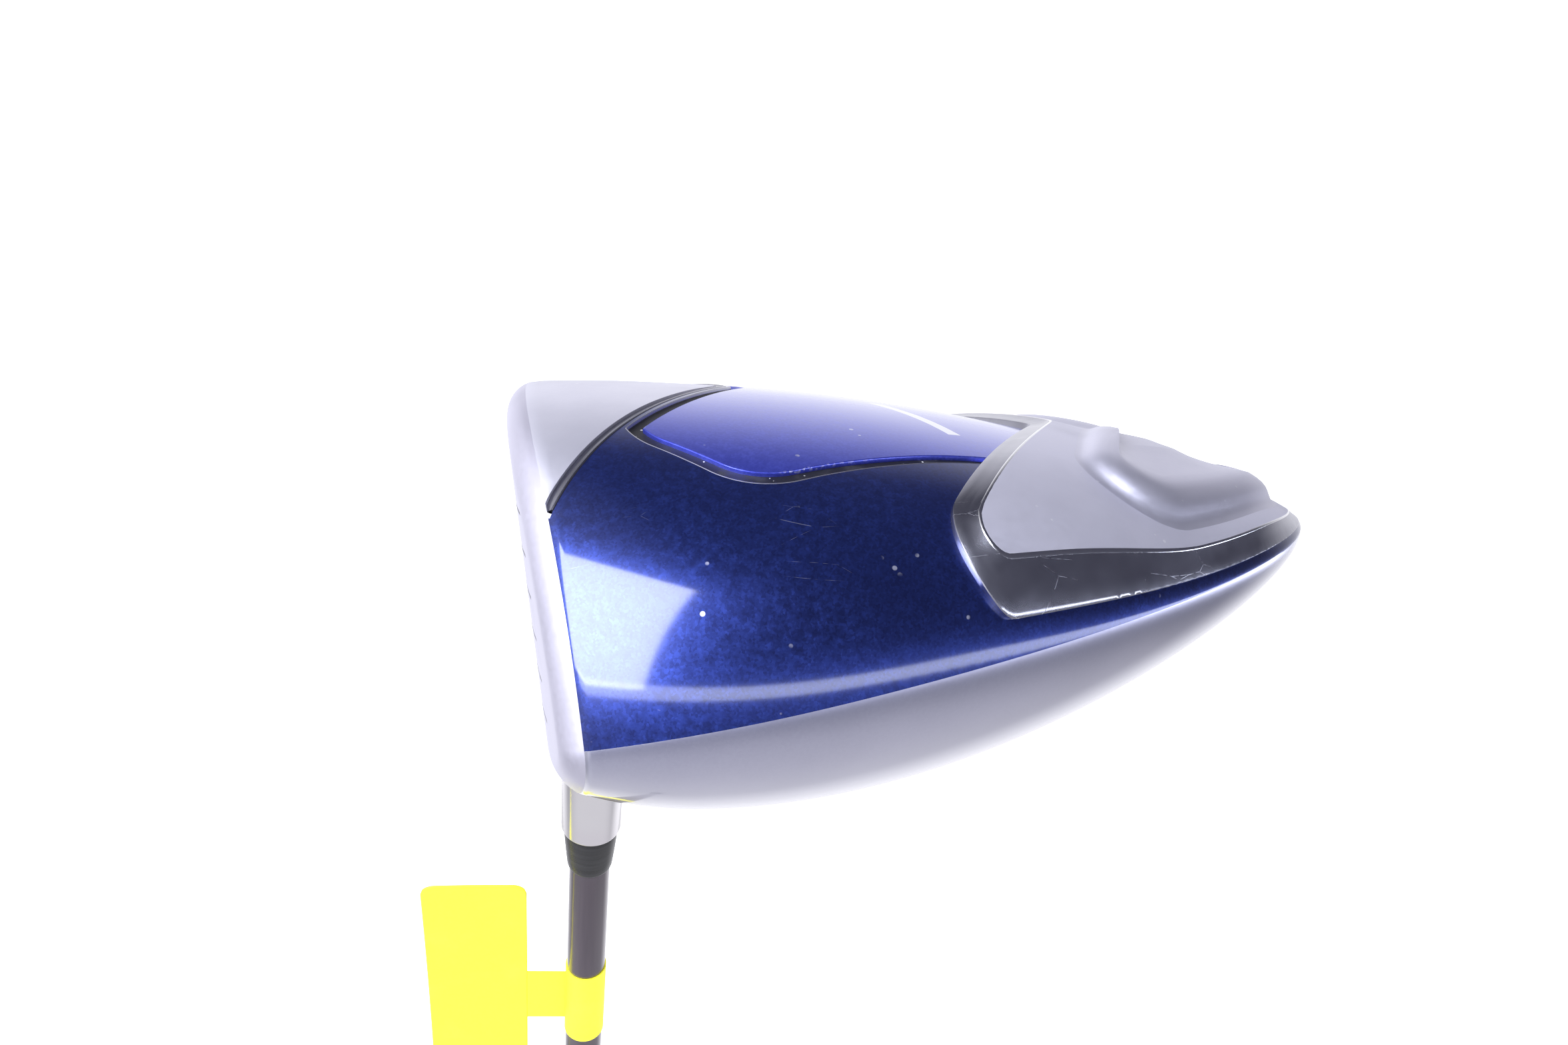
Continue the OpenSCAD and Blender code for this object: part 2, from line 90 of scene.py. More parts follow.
def heights(u):
    """The seam's height, the crown's rise above it and the sole's drop below it."""
    seam = SEAM_FRONT + (SEAM_TAIL - SEAM_FRONT) * u / HEAD_L
    fall = np.where(u < APEX_Y, FRONT_DIP * ((APEX_Y - u) / APEX_Y) ** 2,
                    np.clip((u - APEX_Y) / (HEAD_L - APEX_Y), 0, 1) ** CROWN_FALL)
    crown = HEAD_H - (HEAD_H - TAIL_TOP) * fall
    sole = TAIL_LOW * np.clip((u - LIFT_Y) / (HEAD_L - LIFT_Y), 0, None) ** SOLE_RISE
    sole = sole + LEAD_RISE * np.clip((LEAD_RISE_Y - u) / LEAD_RISE_Y, 0, None) ** 2
    close = np.sqrt(1 - (1 - np.clip((HEAD_L - u) / TAIL_ROUND, 0, 1)) ** 2)
    return seam, (crown - seam) * close, (seam - sole) * close


def bend(x, y, z, u):
    """Leans the stations near the front into the loft and the bulge."""
    k = np.clip(1 - u / HEAD_L, 0, 1)
    return np.stack([x, y + z * math.tan(LOFT) * k**1.5 + x * x / (2 * BULGE) * k**3, z], -1)


def sole_n(u):
    """The sole's section is boxy at the front and rounder towards the rear."""
    t = np.clip((u - SOFTEN_FROM) / (SOFTEN_TO - SOFTEN_FROM), 0, 1)
    return SOLE_N_FRONT + (SOLE_N_REAR - SOLE_N_FRONT) * smooth(t)


def tail_draw(u):
    """Draws the last millimetres in, so that the rounded tail ends where the CAD's does."""
    return TAIL_CUT * (u / HEAD_L) ** 8


def skin(u, v):
    """The head's surface at station u and angle v: 0 heel, 90 crown, 180 toe, 270 sole."""
    u, v = np.broadcast_arrays(np.asarray(u, float), np.asarray(v, float))
    c, s = np.cos(np.radians(v)), np.sin(np.radians(v))
    cut = edge_cut(u)
    wide = np.where(c < 0, plan(u, FACE_TOE_W, TOE_W), plan(u, FACE_HEEL_W, HEEL_W)) - cut
    seam, up, down = heights(u)
    tall = np.where(s > 0, up, down) - cut
    n = 2 / np.where(s > 0, CROWN_N, sole_n(u))
    x = np.maximum(wide, 0.01) * np.sign(c) * np.abs(c) ** n
    z = seam + np.maximum(tall, 0.01) * np.sign(s) * np.abs(s) ** n
    return bend(x, u - tail_draw(u), z, u)


def on_club(p):
    """Turns points of the address frame onto the shaft, in metres."""
    p = np.asarray(p, float)
    x, y, z = p[..., 0] - HOSEL_X, p[..., 1] - HOSEL_Y, p[..., 2]
    return np.stack([z * math.cos(LIE) - x * math.sin(LIE), y,
                     CLUB_L - x * math.cos(LIE) - z * math.sin(LIE)], -1) / 1000


HEART = on_club([0, 55, 30])
MERGE = 2e-6


def finished(name, bm, sharp=32):
    """Makes a bmesh a smooth object with creases where its faces turn sharply."""
    mesh = bpy.data.meshes.new(name)
    bm.to_mesh(mesh)
    bm.free()
    mesh.shade_smooth()
    mesh.set_sharp_from_angle(angle=math.radians(sharp))
    made = bpy.data.objects.new(name, mesh)
    bpy.context.collection.objects.link(made)
    return made


def face_outwards(bm):
    """Turns the faces so that on the whole they look away from the middle of the head."""
    bm.normal_update()
    middle = Vector(HEART)
    if sum((f.calc_center_median() - middle).dot(f.normal) * f.calc_area() for f in bm.faces) < 0:
        bmesh.ops.reverse_faces(bm, faces=bm.faces)


def looped(rows):
    """Rows of points, each closed on its first point."""
    return [np.vstack([row, row[:1]]) for row in rows]


def lofted(name, rows, sharp=32, closed=False):
    """A skin through rows of points, with its seams and poles merged."""
    rows = np.asarray(rows)
    bm = bmesh.new()
    bmesh.ops.create_grid(bm, x_segments=rows.shape[1] - 1, y_segments=rows.shape[0] - 1)
    for vert, point in zip(bm.verts, rows.reshape(-1, 3)):
        vert.co = point
    bmesh.ops.remove_doubles(bm, verts=bm.verts, dist=MERGE)
    if closed:
        bmesh.ops.recalc_face_normals(bm, faces=bm.faces)
    else:
        face_outwards(bm)
    return finished(name, bm, sharp)


class Node:
    """A socket of a material's node tree that takes part in Python expressions."""

    tree = None

    def __init__(self, socket):
        self.socket = socket

    @classmethod
    def make(cls, kind, values, settings=(), out=0):
        """Adds a node: its settings first, then the values or links of its sockets."""
        node = cls.tree.nodes.new(kind)
        for key, value in dict(settings).items():
            setattr(node, key, value)
        for key, value in values.items():
            if isinstance(value, Node):
                cls.tree.links.new(value.socket, node.inputs[key])
            elif node.inputs[key].type == "RGBA":
                node.inputs[key].default_value = (*value, 1.0)
            else:
                node.inputs[key].default_value = value
        return cls(node.outputs[out])

    @classmethod
    def math(cls, operation, a, b=0.0):
        return cls.make("ShaderNodeMath", {0: a, 1: b}, {"operation": operation})

    def __add__(self, other):
        return Node.math("ADD", self, other)

    def __sub__(self, other):
        return Node.math("SUBTRACT", self, other)

    def __mul__(self, other):
        return Node.math("MULTIPLY", self, other)

    def __radd__(self, other):
        return Node.math("ADD", other, self)

    def __rsub__(self, other):
        return Node.math("SUBTRACT", other, self)

    def __rmul__(self, other):
        return Node.math("MULTIPLY", other, self)

    def rise(self, low, high):
        """0 below low, 1 above high and a smooth step between."""
        return Node.make("ShaderNodeMapRange", {"Value": self, "From Min": low, "From Max": high},
                         {"interpolation_type": "SMOOTHSTEP"})


def stretched(stretch):
    base = Node.make("ShaderNodeTexCoord", {}, out="Object")
    return Node.make("ShaderNodeMapping", {"Vector": base, "Scale": stretch})


def cloud(scale, detail, stretch=(1, 1, 1), seed=0.0):
    """Soft noise, from 0 to 1."""
    return Node.make("ShaderNodeTexNoise", {"Vector": stretched(stretch), "Scale": scale, "Detail": detail,
                                            "W": seed}, {"noise_dimensions": "4D"})


def cells(scale, feature="F1", out="Distance", stretch=(1, 1, 1)):
    return Node.make("ShaderNodeTexVoronoi", {"Vector": stretched(stretch), "Scale": scale},
                     {"feature": feature}, out)


def mixed(amount, a, b):
    """Colour a, turning to b as the amount goes from 0 to 1."""
    return Node.make("ShaderNodeMix", {0: amount, 6: a, 7: b}, {"data_type": "RGBA"}, out=2)


def bumped(height, strength, depth):
    return Node.make("ShaderNodeBump", {"Height": height, "Strength": strength, "Distance": depth})


def finish_of(name, looks):
    """A material whose Principled sockets are what looks() returns."""
    made = bpy.data.materials.new(name)
    made.use_nodes = True
    Node.tree = made.node_tree
    shader = made.node_tree.nodes["Principled BSDF"]
    for key, value in looks().items():
        socket = shader.inputs[key]
        if isinstance(value, Node):
            made.node_tree.links.new(value.socket, socket)
        elif socket.type == "RGBA":
            socket.default_value = (*value, 1.0)
        else:
            socket.default_value = value
    return made


def address():
    """The address frame's x, y and z at the shaded point, in millimetres."""
    split = Node.make("ShaderNodeSeparateXYZ", {0: Node.make("ShaderNodeTexCoord", {}, out="Object")})
    node = split.socket.node
    x, y, z = (Node(node.outputs[k]) for k in range(3))
    drop = CLUB_L - 1000 * z
    return (HOSEL_X + drop * math.cos(LIE) - 1000 * math.sin(LIE) * x,
            1000 * y + HOSEL_Y,
            1000 * math.cos(LIE) * x + drop * math.sin(LIE))


def hairlines(seed, density=0.62):
    """Sparse fine scratches, as a mask."""
    line = 1 - cells(150 + 31 * seed, "DISTANCE_TO_EDGE", stretch=(1, 0.3, 0.7)).rise(0.0, 0.005)
    broken = cloud(900, 1, seed=seed + 20).rise(0.4, 0.6)
    return line * broken * cloud(60, 1, seed=seed).rise(density, density + 0.08)


def specks(size, density, seed):
    """Sparse dots of dust, as a mask."""
    return (1 - cells(size).rise(0.1, 0.16)) * cloud(180, 1, seed=seed).rise(density, density + 0.06)


def satin(name, tone, rough, grain=1500, stain=0.3, metallic=1.0):
    """Blasted metal: fine grain, a faint patchy haze and a few scratches."""

    def looks():
        fine = cloud(grain, 3)
        haze = cloud(42, 4, seed=2.0).rise(0.42, 0.72)
        lines = hairlines(1.0)
        base = mixed(stain * haze, tone, (0.38, 0.38, 0.47))
        base = mixed(0.45 * lines + 0.6 * specks(520, 0.6, 3.0), base, (0.9, 0.9, 0.95))
        return {"Base Color": base, "Metallic": metallic, "Roughness": rough + 0.14 * fine - 0.12 * lines,
                "Normal": bumped(fine, 0.35, 0.00002)}

    return finish_of(name, looks)


def scored_face():
    """Satin with milled score lines away from a plain middle."""
    pitch, off_middle, plain, ends, lowest, highest = 5.0, 3.0, 14, 34, 14, 44
    x, _, z = address()
    fine = cloud(1500, 3)
    lines = 1 - Node.math("PINGPONG", z, pitch / 2).rise(0.1, 0.28)
    across = Node.math("ABSOLUTE", x + off_middle)
    beside = across.rise(plain, plain + 0.6) * (1 - across.rise(ends, ends + 0.6))
    mask = lines * (beside * z.rise(lowest, lowest + 0.4) * (1 - z.rise(highest, highest + 0.4)))
    haze = cloud(60, 3, seed=4.0).rise(0.45, 0.7)
    base = mixed(0.25 * haze, (0.74, 0.72, 0.84), (0.5, 0.5, 0.6))
    return {"Base Color": mixed(mask, base, (0.08, 0.08, 0.1)), "Metallic": 1.0,
            "Roughness": 0.36 + 0.12 * fine, "Normal": bumped(0.1 * fine - mask, 0.6, 0.0002)}


FACE_MIDDLE_DROP = 6.0
turn = np.linspace(0, 360, 241)
front_rings = [(0.0, s) for s in (0.0, 0.12, 0.25, 0.4, 0.55, 0.7, 0.8, 0.9, 0.96, 1.0)]
edge_rings = [(u, 1.0) for u in (0.03, 0.1, 0.22, 0.4, 0.65, 1.0, 1.4, 1.9, 2.4, FACE_T)]
back_rings = [(FACE_T, s) for s in (0.75, 0.4, 0.0)]


def face_ring(u, scale):
    """The section at station u, drawn in towards the face's middle."""
    p = skin(u, turn)
    middle = SEAM_FRONT - FACE_MIDDLE_DROP
    return bend(p[:, 0] * scale, u + 0 * turn, middle + (p[:, 2] - middle) * scale, np.asarray(u))


face = lofted("face", on_club([face_ring(u, s) for u, s in front_rings + edge_rings + back_rings]),
              closed=True)
face.data.materials.append(finish_of("scored satin face", scored_face))
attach(face, "root")
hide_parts("face_plate")

# ---- Front body ------------------------------------------------------------
# The front strip of the sole, cast in one with the boss round the shaft's exit and blasted to
# a pale satin. It ends behind in a swept edge, and a hole for the tube goes through the boss.

CHEVRON_N = 1.28
FRONT_APEX, FRONT_SWEEP = 31.0, 0.173
BOSS = np.array([31.9, 13.9])
BOSS_R, BOSS_FILLET = 8.6, 3.0
BAND_W, BAND_END = 1.5, 44.5
SEAM_TOE, SEAM_HEEL, SOLE_ANGLE = 180.0, 360.0, 270.0
ARC_STEP = 0.15
PER_DEGREE = 0.8


def normal(u, v):
    """The skin's outward normal."""
    along = skin(np.minimum(u + 0.03, HEAD_L - 0.01), v) - skin(np.maximum(u - 0.03, 0.02), v)
    around = skin(u, v + 0.25) - skin(u, v - 0.25)
    n = np.cross(along, around)
    return n / np.linalg.norm(n, axis=-1, keepdims=True)


def on_sole(xy):
    """The station and angle of the sole's point at x, y seen from above."""
    x, y = np.asarray(xy, float)[..., 0], np.asarray(xy, float)[..., 1]
    u = np.clip(y, 0.05, HEAD_L - 0.05)
    for _ in range(16):
        wide = np.where(x < 0, plan(u, FACE_TOE_W, TOE_W), plan(u, FACE_HEEL_W, HEEL_W)) - edge_cut(u)
        c = np.clip(np.abs(x) / np.maximum(wide, 0.01), 0, 0.99999) ** (sole_n(u) / 2)
        s = np.sqrt(1 - c * c)
        seam, _, down = heights(u)
        z = seam - (down - edge_cut(u)) * s ** (2 / sole_n(u))
        u = np.clip(y - bend(x, 0 * u, z, u)[..., 1] + tail_draw(u), 0.05, HEAD_L - 0.05)
    return np.stack([u, np.degrees(np.arctan2(-s, np.where(x < 0, -c, c))) % 360], -1)


def lifted(xy, h):
    """Points over the sole at x, y, a height h above its skin."""
    uv = on_sole(xy)
    return skin(uv[..., 0], uv[..., 1]) + np.asarray(h)[..., None] * normal(uv[..., 0], uv[..., 1])


def swept(apex, sweep, x):
    return apex - sweep * np.abs(x) ** CHEVRON_N


def curve(centre, radius, start, end):
    """Points of an arc, from one angle in radians to another."""
    t = np.linspace(start, end, max(4, int(abs(end - start) * radius / ARC_STEP)))
    return np.asarray(centre) + radius * np.stack([np.cos(t), np.sin(t)], -1)


def heading(vector):
    return math.atan2(vector[1], vector[0])


def sideways(line):
    """Unit vectors across a line, to its left."""
    slope = np.gradient(line, axis=0)
    slope /= np.linalg.norm(slope, axis=1, keepdims=True)
    return np.stack([-slope[:, 1], slope[:, 0]], -1)


def front_edge_line():
    """The front body's rear edge from toe to heel, round the boss with its fillets."""
    x = np.linspace(-62, 62, 1241)
    line = np.stack([x, swept(FRONT_APEX, FRONT_SWEEP, x)], -1)
    centres = line + BOSS_FILLET * sideways(line)
    clear = np.linalg.norm(centres - BOSS, axis=1) > BOSS_R + BOSS_FILLET
    near, far = np.flatnonzero(np.diff(clear.astype(int)))[[0, -1]]
    a, b = centres[near], centres[far + 1]
    into = curve(a, BOSS_FILLET, heading(line[near] - a), heading(BOSS - a))
    round_boss = curve(BOSS, BOSS_R, heading(a - BOSS) % (2 * math.pi), heading(b - BOSS))
    out = curve(b, BOSS_FILLET, heading(BOSS - b) % (2 * math.pi),
                heading(line[far + 1] - b) % (2 * math.pi))
    return np.vstack([line[:near], into, round_boss, out, line[far + 2:]])


def evened(line, step):
    """The same line with even steps."""
    run = np.concatenate([[0], np.cumsum(np.linalg.norm(np.diff(line, axis=0), axis=1))])
    at = np.linspace(0, run[-1], int(run[-1] / step) + 1)
    return np.stack([np.interp(at, run, line[:, 0]), np.interp(at, run, line[:, 1])], -1)


front_edge = evened(front_edge_line(), 0.3)
across_edge = sideways(front_edge)
banded = np.abs(front_edge[:, 0]) < BAND_END


def to_lead(uv):
    """Cuts a line of stations and angles off at the leading edge."""
    behind = np.flatnonzero(uv[:, 0] > FACE_T + 0.02)
    inner = uv[behind[0]:behind[-1] + 1]
    return np.vstack([[[FACE_T, inner[0, 1]]], inner, [[FACE_T, inner[-1, 1]]]])


def straight(a, b, step):
    count = max(2, int(np.linalg.norm(np.subtract(b, a)) / step))
    return np.linspace(a, b, count, endpoint=False)


def inside(points, outline):
    """Whether each point lies inside a closed outline."""
    x, y = points[:, :1], points[:, 1:]
    a, b = outline, np.roll(outline, -1, 0)
    rising = (a[:, 1] > y) != (b[:, 1] > y)
    span = np.where(a[:, 1] == b[:, 1], 1, b[:, 1] - a[:, 1])
    cross = x < (b[:, 0] - a[:, 0]) * (y - a[:, 1]) / span + a[:, 0]
    return (rising & cross).sum(1) % 2 == 1


def distance_to(line):
    """A function that gives how far points are from a dense line's nearest point."""
    tree = KDTree(len(line))
    for k, (x, y) in enumerate(line):
        tree.insert((x, y, 0), k)
    tree.balance()
    return lambda points: np.array([tree.find((x, y, 0))[2] for x, y in points])


def within(points, outline, holes):
    keep = inside(points, outline)
    for hole in holes:
        keep &= ~inside(points, hole)
    return keep


def patch(name, outline, thick, holes=(), height=None, gap=1.25):
    """A plate of the sole inside an outline and outside its holes, all stations and angles.

    It is triangulated over stations and angles, where the skin is flat, and laid on the skin.
    Its outer face gets the true surface's normals, so that edges don't disturb reflections."""
    flat = [np.stack([(line[:, 1] - SOLE_ANGLE) * PER_DEGREE, line[:, 0]], -1) for line in (outline, *holes)]
    low, high = flat[0].min(0), flat[0].max(0)
    lattice = []
    for k, y in enumerate(np.arange(low[1], high[1], gap * math.sqrt(0.75))):
        x = np.arange(low[0] + gap / 2 * (k % 2), high[0], gap)
        lattice.append(np.stack([x, np.full(len(x), y)], -1))
    lattice = np.vstack(lattice)
    lattice = lattice[within(lattice, flat[0], flat[1:])]
    lattice = lattice[distance_to(np.vstack(flat))(lattice) > 0.5 * gap]
    points, edges, start = [], [], 0
    for line in flat:
        points.extend(map(tuple, line))
        edges.extend((start + k, start + (k + 1) % len(line)) for k in range(len(line)))
        start += len(line)
    points.extend(map(tuple, lattice))
    verts, _, faces, _, _, _ = delaunay_2d_cdt([Vector(p) for p in points], edges, [], 0, 1e-5)
    verts = np.array([tuple(p) for p in verts])
    faces = np.array([f for f in faces if len(f) == 3])
    faces = faces[within(verts[faces].mean(1), flat[0], flat[1:])]
    u, v = verts[:, 1], verts[:, 0] / PER_DEGREE + SOLE_ANGLE
    outward = normal(u, v)
    over = height(skin(u, v)[:, :2])[:, None] if height else 0.0
    top = on_club(skin(u, v) + over * outward)
    under = on_club(skin(u, v) + (over - thick) * outward)
    bm = bmesh.new()
    used = sorted(set(faces.ravel().tolist()))
    over_verts = {k: bm.verts.new(top[k]) for k in used}
    under_verts = {k: bm.verts.new(under[k]) for k in used}
    for face_ids in faces.tolist():
        bm.faces.new([over_verts[k] for k in face_ids])
    outer = list(bm.faces)
    rim = [tuple(e.verts) for e in bm.edges if len(e.link_faces) == 1]
    number = {vert: k for k, vert in over_verts.items()}
    for a, b in rim:
        bm.faces.new([a, b, under_verts[number[b]], under_verts[number[a]]])
    for face_ids in faces.tolist():
        bm.faces.new([under_verts[k] for k in reversed(face_ids)])
    bmesh.ops.recalc_face_normals(bm, faces=bm.faces)
    loops_of_outer = sum(len(f.verts) for f in outer)
    made = finished(name, bm)
    turned = on_club(skin(u, v) + outward) - on_club(skin(u, v))
    turned /= np.linalg.norm(turned, axis=1, keepdims=True)
    custom = [(0.0, 0.0, 0.0)] * len(made.data.loops)
    for loop in range(loops_of_outer):
        custom[loop] = tuple(turned[used[made.data.loops[loop].vertex_index]])
    made.data.normals_split_custom_set(custom)
    return made


def round_exit(radius, depth):
    """The line where a tube of that radius on the shaft's axis meets the sole, then sunk along it."""
    t = np.linspace(0, 2 * math.pi, 120, endpoint=False)
    axis = np.array([math.cos(LIE), 0, math.sin(LIE)])
    side = np.array([math.sin(LIE), 0, -math.cos(LIE)])
    base = np.array([HOSEL_X, HOSEL_Y, 0]) + radius * (np.cos(t)[:, None] * side
                                                       + np.sin(t)[:, None] * np.array([0, 1, 0]))
    along = np.full(len(t), 2.0)
    for _ in range(20):
        p = base + along[:, None] * axis
        uv = on_sole(p[:, :2])
        along = along + (skin(uv[:, 0], uv[:, 1])[:, 2] - p[:, 2]) / math.sin(LIE)
    return base + (along + depth)[:, None] * axis


EXIT_R = 6.0
body_line = np.where(banded[:, None], front_edge - BAND_W * across_edge, front_edge)
body_edge = to_lead(on_sole(body_line))
lead = straight((FACE_T, body_edge[-1, 1]), (FACE_T, body_edge[0, 1]), 0.6)
exit_hole = on_sole(round_exit(EXIT_R, 0)[:, :2])
front_body = patch("front_body", np.vstack([body_edge[:-1], lead]), 1.6, [exit_hole])
front_body.data.materials.append(satin("satin silver body", (0.7, 0.69, 0.78), 0.34, metallic=0.84))
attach(front_body, "root")
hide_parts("front_body")

# The exit's rim is turned into the boss: a rounded lip and a wall down to the tube.
lip = [(0.0, 0.0), (0.12, 0.04), (0.3, 0.2), (0.5, 0.55), (0.58, 1.2), (0.58, 4.0)]
exit_rim = lofted("exit_rim", on_club(looped([round_exit(EXIT_R - inward, sunk) for inward, sunk in lip])))
exit_rim.data.materials.append(satin("turned exit rim", (0.8, 0.8, 0.86), 0.16, 2600, 0.1))
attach(exit_rim, "root")

# ---- Trim band -------------------------------------------------------------
# A narrow dark chrome strip bonded into a step along the front body's edge, cut square at both
# ends. It slopes down to the front and leaves a fine bright edge against the painted sole.


def polished_dark(name, tone, rough, worn=0.5):
    """Dark chrome, polished, with scratches and chips through to bare metal."""

    def looks():
        lines = hairlines(2.0, 0.52)
        chips = cells(330).rise(0.1, 0.0) * cloud(90, 2, seed=6.0).rise(0.56, 0.62)
        base = mixed(cloud(120, 3, seed=1.0).rise(0.4, 0.8) * 0.4, tone, (0.3, 0.3, 0.36))
        base = mixed(worn * lines + worn * chips, base, (0.85, 0.86, 0.92))
        return {"Base Color": base, "Metallic": 1.0, "Roughness": rough + 0.25 * lines + 0.1 * cloud(400, 2),
                "Normal": bumped(lines + chips, 0.25, 0.00003)}

    return finish_of(name, looks)


band_line = front_edge[banded]
band_across = across_edge[banded]
band_profile = [(0.02, -0.5), (0.02, 0.02), (-0.06, 0.1), (-0.2, 0.12), (-0.3, 0.06), (-0.36, -0.02),
                (-1.38, -0.34), (-1.48, -0.38), (-1.5, -0.8)]
band_rows = np.array([lifted(band_line + d * band_across, h) for d, h in band_profile])
band_ends = [np.repeat(band_rows.mean(0)[None, k:k + 1], len(band_profile), 0) for k in (0, -1)]
band_rows = np.concatenate([band_ends[0], band_rows, band_ends[1]], 1)
trim_band = lofted("trim_band", on_club(band_rows), 25)
trim_band.data.materials.append(polished_dark("dark chrome band", (0.36, 0.36, 0.42), 0.2))
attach(trim_band, "root")
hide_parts("front_trim_band")

# ---- Rear plate's outline --------------------------------------------------
# The rear plate and the centre panel share edges, so their outlines are found first. Each is
# traced from a middle point outwards to where its footprint ends, seen from above.

PLATE_APEX, PLATE_SWEEP = 75.5, 0.155
PLATE_MARGIN, WING_R = 0.5, 5.0
SIDE_BEVEL, WING_FROM, WING_RUN = 0.62, -0.52, 0.3
THIN_FROM, THIN_RUN, THINNED = 96.0, 18.0, 0.8
PLATE_MID, PANEL_MID = np.array([0.0, 95.0]), np.array([0.0, 48.0])


def traced(middle, angles, outside):
    """Where rays from the middle first come outside, by halving."""
    way = np.stack([np.cos(angles), np.sin(angles)], -1)
    low, high = np.zeros(len(angles)), np.full(len(angles), 120.0)
    for _ in range(17):
        at = (low + high) / 2
        out = outside(middle + at[:, None] * way)
        low, high = np.where(out, low, at), np.where(out, at, high)
    return middle + low[:, None] * way


def spread(middle, outside, count):
    """Ray angles that give evenly spaced points along a footprint's outline, and the outline."""
    angles = np.linspace(0, 2 * math.pi, 2161)
    line = traced(middle, angles, outside)
    run = np.concatenate([[0], np.cumsum(np.linalg.norm(np.diff(line, axis=0), axis=1))])
    return np.interp(np.linspace(0, run[-1], count + 1)[:-1], run, angles), line


def beyond(line, middle):
    """A function that says which points lie outside an outline, seen from its middle."""
    rel = line - middle
    angles = np.arctan2(rel[:, 1], rel[:, 0])
    order = np.argsort(angles)
    reach = np.linalg.norm(rel, axis=1)[order]

    def outside(p):
        gap = p - middle
        here = np.arctan2(gap[:, 1], gap[:, 0])
        return np.linalg.norm(gap, axis=1) > np.interp(here, angles[order], reach, period=2 * math.pi)

    return outside


margin_u = np.concatenate([np.linspace(3, 100, 300), np.linspace(100.1, HEAD_L - 0.3, 300)])
margin_line = evened(np.vstack([skin(margin_u, 180)[:, :2], skin(margin_u[::-1], 0)[:, :2]]), 0.15)
past_margin, from_margin = beyond(margin_line, PLATE_MID), distance_to(margin_line)


def off_plate(p):
    return (past_margin(p) | (from_margin(p) < PLATE_MARGIN)
            | (p[:, 1] < swept(PLATE_APEX, PLATE_SWEEP, p[:, 0])))


_, sharp_plate = spread(PLATE_MID, off_plate, 600)
from_sharp = distance_to(evened(sharp_plate, 0.1))
ring_angles = np.linspace(0, 2 * math.pi, 1441)
drawn_in = traced(PLATE_MID, ring_angles, lambda p: off_plate(p) | (from_sharp(p) < WING_R))
drawn_in = evened(drawn_in, 0.1)
past_drawn, from_drawn = beyond(drawn_in, PLATE_MID), distance_to(drawn_in)
plate_angles, plate_dense = spread(PLATE_MID, lambda p: past_drawn(p) & (from_drawn(p) > WING_R), 620)
plate_dense = evened(plate_dense, 0.1)
past_plate, from_plate = beyond(plate_dense, PLATE_MID), distance_to(plate_dense)
wing = np.clip((np.sin(plate_angles) - WING_FROM) / WING_RUN, 0, 1)
bevel_share = 1 - (1 - SIDE_BEVEL) * smooth(wing)


def plate_ring(inset):
    """The plate's outline drawn in by an inset, which is less along the sides."""
    return traced(PLATE_MID, plate_angles, lambda p: past_plate(p) | (from_plate(p) < inset * bevel_share))


def proud(ring, height):
    """Heights along a ring of the plate, which thins out towards the tail."""
    t = np.clip((ring[:, 1] - THIN_FROM) / THIN_RUN, 0, 1)
    return height * (1 - THINNED * smooth(t)) if height > 0 else np.full(len(ring), height)


# ---- Centre panel ----------------------------------------------------------
# A separate plate in a recess of the sole, painted a brighter blue, with paint worn off its
# edge. A plain light dash is printed on it.

PANEL_GAP, PANEL_R, GROOVE_W = 2.4, 9.0, 1.9
PANEL_TIP_X, PANEL_WIDE_X, PANEL_WIDE_Y, PANEL_REAR_X = 33.4, 44.8, 31.5, 28.4
panel_half = [(PANEL_TIP_X, swept(FRONT_APEX + PANEL_GAP, FRONT_SWEEP, PANEL_TIP_X)),
              (PANEL_WIDE_X, PANEL_WIDE_Y), (PANEL_REAR_X, PLATE_APEX)]
panel_corners = np.array(panel_half + [(-x, y) for x, y in reversed(panel_half)])


def from_polygon(points, corners):
    """Signed distance to a convex polygon, negative inside."""
    a, b = corners, np.roll(corners, -1, 0)
    edge = b - a
    rel = points[:, None] - a[None]
    t = np.clip((rel * edge).sum(-1) / (edge**2).sum(-1), 0, 1)
    gap = np.sqrt(((rel - t[..., None] * edge) ** 2).sum(-1)).min(1)
    return np.where(inside(points, corners), -gap, gap)


def drawn_corners(corners, inset):
    """A convex polygon's corners after its sides move in."""
    a, b = corners, np.roll(corners, -1, 0)
    way = (b - a) / np.linalg.norm(b - a, axis=1, keepdims=True)
    moved = a + inset * np.stack([-way[:, 1], way[:, 0]], -1)
    out = []
    for k in range(len(corners)):
        p, d, q, e = moved[k - 1], way[k - 1], moved[k], way[k]
        out.append(p + d * np.cross(q - p, e) / np.cross(d, e))
    return np.array(out)


core = drawn_corners(panel_corners, PANEL_R)
from_front = distance_to(evened(front_edge_line(), 0.1))


def off_panel(grow):
    def outside(p):
        ahead = ((p[:, 1] < swept(FRONT_APEX, FRONT_SWEEP, p[:, 0])) | (from_front(p) < PANEL_GAP - grow)
                 | (np.linalg.norm(p - BOSS, axis=1) < BOSS_R + 0.1))
        return ((from_polygon(p, core) > PANEL_R + grow) | ahead
                | (p[:, 1] > swept(PLATE_APEX, PLATE_SWEEP, p[:, 0]) + 0.6))
    return outside


panel_angles, _ = spread(PANEL_MID, off_panel(0), 560)


def panel_ring(grow):
    return traced(PANEL_MID, panel_angles, off_panel(grow))


